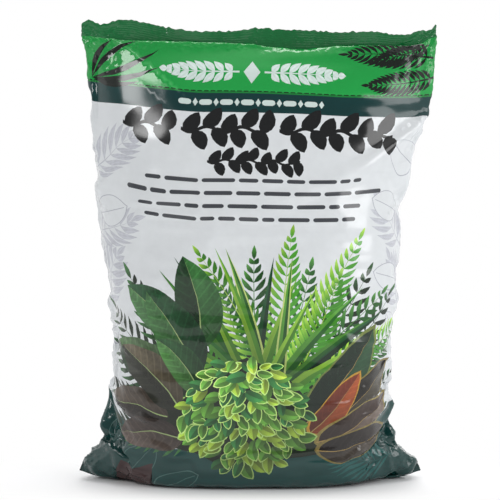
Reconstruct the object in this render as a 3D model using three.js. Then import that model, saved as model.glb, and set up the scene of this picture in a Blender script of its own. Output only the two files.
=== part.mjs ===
// A sealed five litre film bag of potting compost that stands on its folded bottom end.
// Film and contents are one solid, because the bag can't be seen into.
// Millimetres, +Z up, the printed front faces -Y.
import * as THREE from "three";

// The film tube and the height that it stands at.
const FILM_WIDTH = 262; // flat width of the tube, which the top seal keeps
const STANDING_HEIGHT = 341;
const FIN_HEIGHT = 11; // strip of sealed film above the seal line
const FIN_THICKNESS = 1; // two crimped layers
const SIDE_CREASE_THICKNESS = 1.6; // the tube's own fold, down each side

// Heights above the floor at which the outline changes.
const EAR_TIP_HEIGHT = 8.5;
const EAR_ROOT_HEIGHT = 40;
const WAIST_HEIGHT = 92;
const BELLY_HEIGHT = 165;
const NECK_HEIGHT = 215;
const CORNER_HEIGHT = 270; // the film hangs nearly flat above it
const SHOULDER_HEIGHT = 308;
const CREST_HEIGHT = 324; // top of the rounded shoulder, in front of the seal
const VALLEY_DEPTH = 5; // the seal line lies this far below the crest

// Reach of the side edges from the middle, seen from the front.
const LEFT_FOOT = 99;
const LEFT_EAR = 126;
const LEFT_EAR_ROOT = 112;
const LEFT_WAIST = 102.5;
const LEFT_BELLY = 109;
const LEFT_NECK = 114.5;
const LEFT_CORNER = 117;
const RIGHT_FOOT = 99;
const RIGHT_EAR = 126;
const RIGHT_EAR_ROOT = 109;
const RIGHT_WAIST = 106;
const RIGHT_BELLY = 111;
const RIGHT_NECK = 111.5;
const RIGHT_CORNER = 131.5;
const TOP_LEAN = 6.5; // the top seal sits this far to the right

// Reach of the filled body to the front and to the back.
const FRONT_FOOT = 37;
const FRONT_EDGE = 46.5;
const FRONT_WAIST = 55;
const FRONT_BELLY = 52.5;
const FRONT_NECK = 46.5;
const FRONT_CORNER = 32.5;
const FRONT_SHOULDER = 17.5;
const BACK_FOOT = 38;
const BACK_EDGE = 46.5;
const BACK_WAIST = 55;
const BACK_BELLY = 52;
const BACK_NECK = 46;
const BACK_CORNER = 33;
const BACK_SHOULDER = 18.5;
const BOTTOM_EDGE_HEIGHT = 11; // height of the rounded edge round the foot
const CREST_REACH = 5;

// Section of the filled body. Squareness 2 is an ellipse and more is boxier; a higher edge is sharper.
const FOOT_SQUARENESS = 3;
const BELLY_SQUARENESS = 2.6;
const CREST_SQUARENESS = 2.1;
const FULL_EDGE = 0.47;
const CREST_EDGE = 0.78;

// Film that stands out beside the filled body: the ears at the bottom and the flaps at the top corners.
const EAR_FLAP = 28;
const EAR_ROOT_FLAP = 6;
const SIDE_FLAP = 3;
const LEFT_CORNER_FLAP = 4;
const RIGHT_CORNER_FLAP = 10;
const TOP_FLAP = 17;
const EAR_THICKNESS = 38; // across the ear, at its root
const EAR_ROOT_THICKNESS = 9;
const SIDE_THICKNESS = 7;
const TOP_THICKNESS = 12;
const FLAP_BLEND = 2.5; // how sharply a flap grows out of the body
const FLAP_ROUNDNESS = 0.65; // 1 is a plain wedge and less is rounder

// The seal line rises to the left and wanders a little to the front and back.
const LEFT_RISE = 6;
const LEFT_RISE_FROM_MIDDLE = 98;
const LEFT_RISE_SPREAD = 36;
const SEAL_WANDER = 2.2;
const SEAL_WAVE = 118;
const RAGGED_EDGE = 0.9;
const RAGGED_WAVE = 13;

// Pleats: valleys that run in from the side edges, where the film has length to spare.
// Each starts at its height, falls by its drop over its length, and pinches the side edge in.
const LEFT = -1;
const RIGHT = 1;
const FRONT = -1;
const BACK = 1;
const PLEAT_SPREAD = 5;
const PINCH_SPREAD = 7;
const PLEATS = [
  { side: LEFT, face: FRONT, height: WAIST_HEIGHT + 21, depth: 4.5, length: 62, drop: 26, pinch: 3.5 },
  { side: LEFT, face: FRONT, height: EAR_ROOT_HEIGHT + 29, depth: 5, length: 56, drop: 40, pinch: 1.5 },
  { side: LEFT, face: FRONT, height: SHOULDER_HEIGHT + 8, depth: 3.5, length: 76, drop: 60, pinch: 0 },
  { side: LEFT, face: FRONT, height: EAR_ROOT_HEIGHT - 12, depth: 3.5, length: 40, drop: -6, pinch: 0 },
  { side: RIGHT, face: FRONT, height: CORNER_HEIGHT - 2, depth: 5.5, length: 44, drop: 40, pinch: 3 },
  { side: RIGHT, face: FRONT, height: NECK_HEIGHT - 11, depth: 6, length: 52, drop: 14, pinch: 2 },
  { side: RIGHT, face: FRONT, height: EAR_ROOT_HEIGHT + 36, depth: 4, length: 66, drop: 24, pinch: 2.5 },
  { side: RIGHT, face: FRONT, height: EAR_ROOT_HEIGHT + 21, depth: 3, length: 60, drop: 22, pinch: 0 },
  { side: RIGHT, face: FRONT, height: EAR_ROOT_HEIGHT - 12, depth: 4, length: 44, drop: -4, pinch: 1 },
  { side: LEFT, face: BACK, height: CORNER_HEIGHT - 14, depth: 4.5, length: 60, drop: 34, pinch: 0 },
  { side: LEFT, face: BACK, height: NECK_HEIGHT - 40, depth: 3.5, length: 50, drop: 18, pinch: 0 },
  { side: LEFT, face: BACK, height: EAR_ROOT_HEIGHT + 24, depth: 4.5, length: 58, drop: 30, pinch: 0 },
  { side: RIGHT, face: BACK, height: CORNER_HEIGHT - 4, depth: 4.5, length: 48, drop: 36, pinch: 0 },
  { side: RIGHT, face: BACK, height: BELLY_HEIGHT - 22, depth: 3.5, length: 56, drop: 18, pinch: 0 },
  { side: RIGHT, face: BACK, height: EAR_ROOT_HEIGHT + 14, depth: 4.5, length: 60, drop: 22, pinch: 0 },
];

// Lumps of the contents that press against the film, spread by the golden ratio.
const LUMPS_PER_FACE = 22;
const LUMP_HEIGHT = 1.6;
const LUMP_SPREAD = 24;
const GOLDEN_RATIO = (1 + Math.sqrt(5)) / 2;

// How finely the film is divided: points along each face, and rings up the body.
const FACE_POINTS = 44;
const BODY_RINGS = 50;

// A curve through [position, value] points that never overshoots them.
function curveThrough(points) {
  const slopes = points.map((point, i) => {
    if (i === 0 || i === points.length - 1) return 0;
    const before = (point[1] - points[i - 1][1]) / (point[0] - points[i - 1][0]);
    const after = (points[i + 1][1] - point[1]) / (points[i + 1][0] - point[0]);
    return before * after > 0 ? (2 * before * after) / (before + after) : 0;
  });
  return (at) => {
    const last = points.length - 1;
    if (at <= points[0][0]) return points[0][1];
    if (at >= points[last][0]) return points[last][1];
    const i = points.findIndex((point) => point[0] > at) - 1;
    const span = points[i + 1][0] - points[i][0];
    const t = (at - points[i][0]) / span;
    const hermite = [(1 + 2 * t) * (1 - t) ** 2, t * (1 - t) ** 2, t * t * (3 - 2 * t), t * t * (t - 1)];
    return (
      hermite[0] * points[i][1] +
      hermite[1] * slopes[i] * span +
      hermite[2] * points[i + 1][1] +
      hermite[3] * slopes[i + 1] * span
    );
  };
}

const leftOutline = curveThrough([
  [0, LEFT_FOOT],
  [EAR_TIP_HEIGHT, LEFT_EAR],
  [EAR_ROOT_HEIGHT, LEFT_EAR_ROOT],
  [WAIST_HEIGHT, LEFT_WAIST],
  [BELLY_HEIGHT, LEFT_BELLY],
  [NECK_HEIGHT, LEFT_NECK],
  [CORNER_HEIGHT, LEFT_CORNER],
  [CREST_HEIGHT, FILM_WIDTH / 2 - TOP_LEAN],
]);
const rightOutline = curveThrough([
  [0, RIGHT_FOOT],
  [EAR_TIP_HEIGHT, RIGHT_EAR],
  [EAR_ROOT_HEIGHT, RIGHT_EAR_ROOT],
  [WAIST_HEIGHT, RIGHT_WAIST],
  [BELLY_HEIGHT, RIGHT_BELLY],
  [NECK_HEIGHT, RIGHT_NECK],
  [CORNER_HEIGHT, RIGHT_CORNER],
  [CREST_HEIGHT, FILM_WIDTH / 2 + TOP_LEAN],
]);
const frontReach = curveThrough([
  [0, FRONT_FOOT],
  [BOTTOM_EDGE_HEIGHT, FRONT_EDGE],
  [WAIST_HEIGHT, FRONT_WAIST],
  [BELLY_HEIGHT, FRONT_BELLY],
  [NECK_HEIGHT, FRONT_NECK],
  [CORNER_HEIGHT, FRONT_CORNER],
  [SHOULDER_HEIGHT, FRONT_SHOULDER],
  [CREST_HEIGHT, CREST_REACH],
]);
const backReach = curveThrough([
  [0, BACK_FOOT],
  [BOTTOM_EDGE_HEIGHT, BACK_EDGE],
  [WAIST_HEIGHT, BACK_WAIST],
  [BELLY_HEIGHT, BACK_BELLY],
  [NECK_HEIGHT, BACK_NECK],
  [CORNER_HEIGHT, BACK_CORNER],
  [SHOULDER_HEIGHT, BACK_SHOULDER],
  [CREST_HEIGHT, CREST_REACH],
]);
const squareness = curveThrough([
  [0, FOOT_SQUARENESS],
  [BELLY_HEIGHT, BELLY_SQUARENESS],
  [CREST_HEIGHT, CREST_SQUARENESS],
]);
const edgeSharpness = curveThrough([
  [NECK_HEIGHT, FULL_EDGE],
  [CREST_HEIGHT, CREST_EDGE],
]);
// Width of the flap beside the body, up one side edge.
function flapCurve(cornerFlap) {
  return curveThrough([
    [0, SIDE_FLAP],
    [EAR_TIP_HEIGHT, EAR_FLAP],
    [EAR_ROOT_HEIGHT, EAR_ROOT_FLAP],
    [WAIST_HEIGHT, SIDE_FLAP],
    [NECK_HEIGHT, SIDE_FLAP],
    [CORNER_HEIGHT, cornerFlap],
    [CREST_HEIGHT, TOP_FLAP],
  ]);
}

const leftFlap = flapCurve(LEFT_CORNER_FLAP);
const rightFlap = flapCurve(RIGHT_CORNER_FLAP);
const flapThickness = curveThrough([
  [0, SIDE_THICKNESS],
  [EAR_TIP_HEIGHT, EAR_THICKNESS],
  [EAR_ROOT_HEIGHT, EAR_ROOT_THICKNESS],
  [WAIST_HEIGHT, SIDE_THICKNESS],
  [NECK_HEIGHT, SIDE_THICKNESS],
  [SHOULDER_HEIGHT, TOP_THICKNESS],
  [CREST_HEIGHT, CREST_REACH],
]);

// How much of the seal line's own shape a height takes up: none on the body, all at the crest.
const sealShare = curveThrough([
  [NECK_HEIGHT, 0],
  [CREST_HEIGHT, 1],
]);

function bell(distance, spread) {
  return Math.exp(-((distance / spread) ** 2));
}

function fraction(value) {
  return value - Math.floor(value);
}

function sealRise(x) {
  return LEFT_RISE * bell(x + LEFT_RISE_FROM_MIDDLE, LEFT_RISE_SPREAD);
}

function sealWander(x) {
  return SEAL_WANDER * Math.sin((2 * Math.PI * x) / SEAL_WAVE);
}

function raggedEdge(x) {
  const turn = (2 * Math.PI * x) / RAGGED_WAVE;
  return (RAGGED_EDGE * (Math.sin(turn) + Math.sin(turn / GOLDEN_RATIO + 1))) / 2;
}

// Reach of one side edge at a height, with the pinches of that side's pleats.
function sideReach(z, side) {
  const outline = side === LEFT ? leftOutline(z) : rightOutline(z);
  const onSide = PLEATS.filter((pleat) => pleat.side === side);
  return onSide.reduce((reach, pleat) => reach - pleat.pinch * bell(z - pleat.height, PINCH_SPREAD), outline);
}

// Half the bag's thickness at a point across it: a full body that thins out to a flap of film beside it.
function halfThickness(x, z, reach, depth) {
  const flap = x < 0 ? leftFlap(z) : rightFlap(z);
  const across = Math.abs(x) / (reach - flap);
  const body = across < 1 ? depth * (1 - across ** squareness(z)) ** edgeSharpness(z) : 0;
  const root = Math.min(flapThickness(z) / 2, depth);
  const crease = SIDE_CREASE_THICKNESS / 2;
  const film = crease + (root - crease) * Math.min(1, (reach - Math.abs(x)) / flap) ** FLAP_ROUNDNESS;
  return (body ** FLAP_BLEND + film ** FLAP_BLEND) ** (1 / FLAP_BLEND);
}

// Depth of the pleats at a point. Each opens up away from the side edge and fades out at its inner end.
function pleatDepth(x, z, face) {
  let depth = 0;
  for (const pleat of PLEATS) {
    if (pleat.face !== face) continue;
    const along = (sideReach(pleat.height, pleat.side) - pleat.side * x) / pleat.length;
    if (along <= 0 || along >= 1) continue;
    const valley = pleat.height - pleat.drop * along;
    const spread = PLEAT_SPREAD * (1 + along);
    depth += pleat.depth * Math.sin(Math.PI * Math.sqrt(along)) * bell(z - valley, spread);
  }
  return depth;
}

// Height of the contents' lumps at a point of one face.
function lumps(x, z, face) {
  let height = 0;
  for (let i = 0; i < LUMPS_PER_FACE; i++) {
    const lumpX = (fraction((i + face / 4) * GOLDEN_RATIO) - 1 / 2) * 2 * LEFT_BELLY;
    const lumpZ = ((i + 1 / 2) / LUMPS_PER_FACE) * SHOULDER_HEIGHT;
    const strength = Math.cos(i * GOLDEN_RATIO * Math.PI);
    height += LUMP_HEIGHT * strength * bell(Math.hypot(x - lumpX, z - lumpZ), LUMP_SPREAD);
  }
  return height;
}

// A point of the body's film: the share of the way from the left edge to the right one, on one face.
function bodyPoint(z, across, face) {
  const reach = sideReach(z, across < 0 ? LEFT : RIGHT);
  const x = across * reach;
  const share = sealShare(z);
  const seal = share * sealWander(x);
  const height = z + share * sealRise(x);
  if (Math.abs(across) === 1) return [x, seal, height];
  const depth = face === FRONT ? frontReach(z) : backReach(z);
  const half = halfThickness(x, z, reach, depth);
  const fullness = Math.min(1, half / depth) * Math.min(1, z / BOTTOM_EDGE_HEIGHT);
  const relief = (lumps(x, z, face) - pleatDepth(x, z, face)) * fullness;
  return [x, face * (half + relief) + seal, height];
}

// One closed ring: the front face from left to right, then the back face. Both faces share the side edges.
function ringOf(pointAt) {
  const across = (step) => {
    if (step === 0) return -1;
    return step === FACE_POINTS ? 1 : -Math.cos((Math.PI * step) / FACE_POINTS);
  };
  const ring = [];
  for (let step = 0; step < FACE_POINTS; step++) ring.push(pointAt(across(step), FRONT));
  for (let step = FACE_POINTS; step > 0; step--) ring.push(pointAt(across(step), BACK));
  return ring;
}

function bodyRing(z) {
  return ringOf((across, face) => bodyPoint(z, across, face));
}

// One ring of the seal fin, flat across its thickness.
function finRing(z, edge) {
  return ringOf((across, face) => {
    const x = across * (FILM_WIDTH / 2 + Math.sign(across) * TOP_LEAN);
    const thick = Math.abs(across) === 1 ? 0 : (face * FIN_THICKNESS) / 2;
    return [x, sealWander(x) + thick, z + sealRise(x) + edge * raggedEdge(x)];
  });
}

// Heights of the body's rings, closer together at the foot and at the shoulder.
function ringHeights() {
  const heights = [];
  for (let i = 0; i <= BODY_RINGS; i++) {
    const even = i / BODY_RINGS;
    const eased = (1 - Math.cos(Math.PI * even)) / 2;
    heights.push((CREST_HEIGHT * (even + eased)) / 2);
  }
  return heights;
}

// Joins rings of equal length into one closed surface, with flat caps at the foot and on the fin's edge.
function loft(rings) {
  const count = rings[0].length;
  const positions = rings.flat(2);
  const faces = [];
  const quad = (a, b, c, d) => {
    if (a !== b && b !== c && a !== c) faces.push(a, b, c);
    if (a !== c && c !== d && a !== d) faces.push(a, c, d);
  };
  for (let ring = 0; ring < rings.length - 1; ring++) {
    for (let i = 0; i < count; i++) {
      const next = (i + 1) % count;
      const low = ring * count;
      const high = low + count;
      quad(low + i, low + next, high + next, high + i);
    }
  }
  const top = (rings.length - 1) * count;
  for (let i = 0; i < count / 2; i++) {
    const across = (count - i) % count;
    quad(i, across, count - i - 1, i + 1);
    quad(top + i, top + i + 1, top + count - i - 1, top + across);
  }
  const geometry = new THREE.BufferGeometry();
  geometry.setAttribute("position", new THREE.Float32BufferAttribute(positions, 3));
  geometry.setIndex(faces);
  return geometry;
}

function filledBag() {
  const sealHeight = CREST_HEIGHT - VALLEY_DEPTH;
  const finTop = STANDING_HEIGHT - LEFT_RISE;
  const rings = ringHeights().map(bodyRing);
  rings.push(finRing(sealHeight, 0));
  rings.push(finRing(finTop - FIN_HEIGHT / 2, 0));
  rings.push(finRing(finTop, 1));
  const geometry = loft(rings);
  geometry.computeBoundingBox();
  const middle = geometry.boundingBox.getCenter(new THREE.Vector3());
  geometry.translate(-middle.x, -middle.y, 0);
  geometry.computeVertexNormals();
  const film = new THREE.MeshStandardMaterial({ color: 0xd5dadb, roughness: 0.3, metalness: 0 });
  const bag = new THREE.Mesh(geometry, film);
  bag.name = "filled_bag";
  return bag;
}

const compostBag = new THREE.Group();
compostBag.name = "compost_bag";
compostBag.add(filledBag());

export default compostBag;
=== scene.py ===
"""A sealed film bag of potting compost that stands on its folded foot.

The film is one flat tube, sealed at both ends. Cloth simulation drapes it over the compost,
and the result is cut into a fine skin along the outlines of the print, so that every printed
edge is crisp. Places on the flat film are in millimetres: across runs from the middle of the
front, and down runs from the top seal line to the foot. Places in space are in metres.
"""

import logging
import math
from collections.abc import Callable
from dataclasses import dataclass, replace
from enum import Enum

import bpy
import numpy as np
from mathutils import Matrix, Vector
from mathutils.geometry import delaunay_2d_cdt


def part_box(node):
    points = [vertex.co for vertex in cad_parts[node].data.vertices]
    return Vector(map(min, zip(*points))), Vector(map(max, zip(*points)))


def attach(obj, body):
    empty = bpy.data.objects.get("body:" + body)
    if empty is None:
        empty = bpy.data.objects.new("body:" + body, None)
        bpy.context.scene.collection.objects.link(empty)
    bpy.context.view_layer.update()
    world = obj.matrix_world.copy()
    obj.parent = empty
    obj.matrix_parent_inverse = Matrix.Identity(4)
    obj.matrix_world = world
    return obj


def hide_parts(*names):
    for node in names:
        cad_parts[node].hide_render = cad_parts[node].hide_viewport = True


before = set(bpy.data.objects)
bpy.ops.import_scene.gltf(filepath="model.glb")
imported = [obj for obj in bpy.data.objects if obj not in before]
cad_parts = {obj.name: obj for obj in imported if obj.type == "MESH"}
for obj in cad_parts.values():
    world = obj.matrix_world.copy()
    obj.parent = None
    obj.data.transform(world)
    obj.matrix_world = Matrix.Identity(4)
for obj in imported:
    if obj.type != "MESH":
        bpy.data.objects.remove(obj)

MM = 0.001
CAD_NODE = "filled_bag"
log = logging.getLogger("compost_bag")

Place = tuple[float, float]
Triple = tuple[float, float, float]
Colour = tuple[float, float, float]
SurfaceMap = Callable[[np.ndarray, np.ndarray], np.ndarray]


class Side(Enum):
    """The side edges of the bag, seen from the front."""

    LEFT = -1
    RIGHT = 1


class Ink(Enum):
    """Printing inks, as sRGB values from 0 to 1."""

    FILM = (0.88, 0.895, 0.905)
    LEAF_GREEN = (0.11, 0.61, 0.27)
    DEEP_GREEN = (0.08, 0.42, 0.22)
    TEAL = (0.03, 0.23, 0.23)
    FOOT_TEAL = (0.08, 0.26, 0.25)


def smooth(value: np.ndarray) -> np.ndarray:
    """Ease a share from 0 to 1, clamped at both ends."""
    share = np.clip(value, 0.0, 1.0)
    return share * share * (3 - 2 * share)


def bell(distance: np.ndarray, spread: float) -> np.ndarray:
    """A bell curve of height 1."""
    return np.exp(-((distance / spread) ** 2))


def linear_light(colours: np.ndarray) -> np.ndarray:
    """Linear values of sRGB colours."""
    return np.where(colours <= 0.04045, colours / 12.92, ((colours + 0.055) / 1.055) ** 2.4)


@dataclass(frozen=True)
class Ease:
    """A share that eases from 0 at a start to 1 over a stretch, which may run backwards."""

    start: float
    over: float

    def at(self, value: np.ndarray) -> np.ndarray:
        """The share at some values."""
        return smooth((value - self.start) / self.over)


@dataclass(frozen=True)
class Ripples:
    """A seeded field of smooth random waves over the flat film."""

    wave: float
    seed: int
    count: int = 28

    def at(self, across: np.ndarray, down: np.ndarray) -> np.ndarray:
        """Height of the field.

        Args:
            across: Places across the film, in millimetres.
            down: Places down the film, in millimetres.

        Returns:
            Heights with a spread of about 1.
        """
        draw = np.random.default_rng(self.seed)
        total = np.zeros_like(across)
        for _ in range(self.count):
            turn = draw.uniform(0, 2 * math.pi)
            pitch = 2 * math.pi / self.wave * draw.uniform(0.6, 1.5)
            phase = draw.uniform(0, 2 * math.pi)
            total += np.sin((across * math.cos(turn) + down * math.sin(turn)) * pitch + phase)
        return total * math.sqrt(2 / self.count)

    def ridges(self, across: np.ndarray, down: np.ndarray) -> np.ndarray:
        """Sharp creases: 1 along them, falling to about 0 between them."""
        return 1 - np.minimum(1, np.abs(self.at(across, down)))


@dataclass(frozen=True)
class Fold:
    """A fold in the film: a flat facet that rises to its right and then drops, in millimetres."""

    start: Place
    end: Place
    width: float
    height: float
    drop: float = 0.25

    def at(self, across: np.ndarray, down: np.ndarray) -> np.ndarray:
        """Height of the fold.

        Args:
            across: Places across the film, in millimetres.
            down: Places down the film, in millimetres.

        Returns:
            Heights, 0 away from the fold.
        """
        run = np.array(self.end) - np.array(self.start)
        length = float(np.hypot(*run))
        offset = np.stack([across, down], 1) - np.array(self.start)
        along = offset @ run / length**2
        aside = offset @ np.array((run[1], -run[0])) / length / self.width
        facet = np.clip(aside, 0, 1) * (1 - smooth((aside - 1) / self.drop))
        return self.height * facet * smooth(along / 0.15) * smooth((1 - along) / 0.25)


@dataclass(frozen=True)
class FilmTube:
    """The flat tube that the bag is made from, in millimetres."""

    width: float = 262.0
    length: float = 388.0
    top_fin: float = 13.0
    foot_fin: float = 8.0
    cloth_columns: int = 52
    cloth_rows: int = 78

    def folded(self, across: np.ndarray) -> np.ndarray:
        """Places across the flattened bag, the same on its front and its back."""
        reach = np.abs(across)
        return np.sign(across) * np.where(reach > self.width / 2, self.width - reach, reach)

    def cloth_column(self, across: np.ndarray) -> np.ndarray:
        """Column of the simulated cloth at a place across the film."""
        return (across + self.width / 2) / self.width * self.cloth_columns

    def cloth_row(self, down: np.ndarray) -> np.ndarray:
        """Row of the simulated cloth, counted up from the foot."""
        return (self.length - down) / self.length * self.cloth_rows


@dataclass(frozen=True)
class Section:
    """One level of the compost: its height and its reach to each side, in millimetres."""

    height: float
    left: float
    right: float
    front: float
    back: float
    squareness: float


@dataclass(frozen=True)
class Compost:
    """The filling that gives the bag its body, as a scaffold for the film."""

    sections: tuple[Section, ...] = (
        Section(0, 80, 80, 34, 34, 3.0),
        Section(5, 86, 86, 42, 42, 3.0),
        Section(14, 89, 89, 47, 46, 2.8),
        Section(40, 95, 93, 51, 50, 2.6),
        Section(70, 97, 94, 53, 52, 2.5),
        Section(113, 93, 101, 53, 52, 2.4),
        Section(165, 103, 105, 51, 49, 2.3),
        Section(215, 109, 102, 45, 43, 2.1),
        Section(250, 111, 106, 37, 35, 2.0),
        Section(270, 112, 112, 31, 29, 1.9),
        Section(300, 109, 114, 20, 18, 1.8),
        Section(312, 99, 104, 11, 10, 1.8),
        Section(317, 76, 80, 3, 3, 2.0),
    )
    levels: int = 36
    points_round: int = 56
    lump: float = 2.0
    lump_depth: float = 50.0
    lump_foot: float = 10.0
    lump_rise: float = 290.0
    floor_gap: float = 1.0
    ear_root: float = 86.0
    ear_length: float = 34.0
    ear_depth: float = 24.0
    ear_height: float = 15.0
    ear_middle: float = 19.0
    ear_fall: float = 7.0
    ear_levels: int = 9
    ear_points: int = 12
    ear_taper: float = 0.8

    def lumps(self, x: float, y: float, z: float) -> float:
        """Height of the lumps in the filling.

        Args:
            x: Place across the bag, in millimetres.
            y: Place through the bag.
            z: Height over the floor.

        Returns:
            The height, in millimetres.
        """
        broad = math.sin(0.105 * x + 0.033 * z + 1) * math.sin(0.095 * z + 0.021 * x)
        small = math.sin(0.19 * x + 0.09 * y - 0.07 * z + 2) * math.sin(0.17 * z + 0.06 * x)
        return self.lump * (broad + 0.6 * small)

    def body_rings(self) -> list[list[Vector]]:
        """Lay out the filling, from the foot to the top.

        Returns:
            Rings of points, in millimetres.
        """
        known = np.array([section.height for section in self.sections])
        even = np.linspace(known[0], known[-1], self.levels)
        names = ("left", "right", "front", "back", "squareness")
        tables = {name: [getattr(section, name) for section in self.sections] for name in names}
        rings = []
        for z in np.unique(np.concatenate([even, known])):
            reach = {name: float(np.interp(z, known, tables[name])) for name in names}
            power = 2 / reach["squareness"]
            envelope = math.sin(math.pi * min(1, max(0, (z - self.lump_foot) / self.lump_rise)))
            ring = []
            for step in range(self.points_round):
                turn = 2 * math.pi * step / self.points_round
                cosine, sine = math.cos(turn), math.sin(turn)
                half_width = reach["right"] if cosine > 0 else reach["left"]
                half_depth = reach["front"] if sine < 0 else reach["back"]
                x = half_width * math.copysign(abs(cosine) ** power, cosine)
                y = half_depth * math.copysign(abs(sine) ** power, sine)
                swell = 1 + envelope * self.lumps(x, y, z) / self.lump_depth
                ring.append(Vector((x, y * swell, z + self.floor_gap)))
            rings.append(ring)
        return rings

    def ear_rings(self, side: Side) -> list[list[Vector]]:
        """Lay out the compost that fills one bottom corner.

        Args:
            side: Which corner.

        Returns:
            Rings of points out along the corner, in millimetres.
        """
        rings = []
        for level in range(self.ear_levels):
            share = level / (self.ear_levels - 1)
            size = (1 - share) ** self.ear_taper
            ring = []
            for step in range(self.ear_points):
                turn = side.value * 2 * math.pi * step / self.ear_points
                x = side.value * (self.ear_root + self.ear_length * share)
                y = (self.ear_depth * size + 1) * math.cos(turn)
                middle = self.ear_middle - self.ear_fall * share
                z = middle + (self.ear_height * size + 1) * math.sin(turn)
                ring.append(Vector((x, y, z)))
            rings.append(ring)
        return rings

    def build(self) -> bpy.types.Object:
        """Make the filling as one closed body.

        Returns:
            The filling's object.
        """
        points, faces = [], []
        for rings in (self.body_rings(), self.ear_rings(Side.LEFT), self.ear_rings(Side.RIGHT)):
            first, count = len(points), len(rings[0])
            points += [point * MM for ring in rings for point in ring]
            for level in range(len(rings) - 1):
                low = first + level * count
                faces += [
                    (low + i, low + (i + 1) % count, low + count + (i + 1) % count, low + count + i)
                    for i in range(count)
                ]
            faces.append(tuple(first + i for i in reversed(range(count))))
            faces.append(tuple(first + (len(rings) - 1) * count + i for i in range(count)))
        mesh = bpy.data.meshes.new("compost")
        mesh.from_pydata(points, [], faces)
        filling = bpy.data.objects.new("compost", mesh)
        bpy.context.scene.collection.objects.link(filling)
        return filling


@dataclass(frozen=True)
class EdgePin:
    """A point of a side edge that is led to its place: down the film, then x, y, z in millimetres."""

    side: Side
    down: float
    x: float
    y: float
    z: float


@dataclass(frozen=True)
class Nick:
    """A place where a side edge starts to fold in: how far down the film and how deep."""

    side: Side
    down: float
    depth: float


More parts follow.
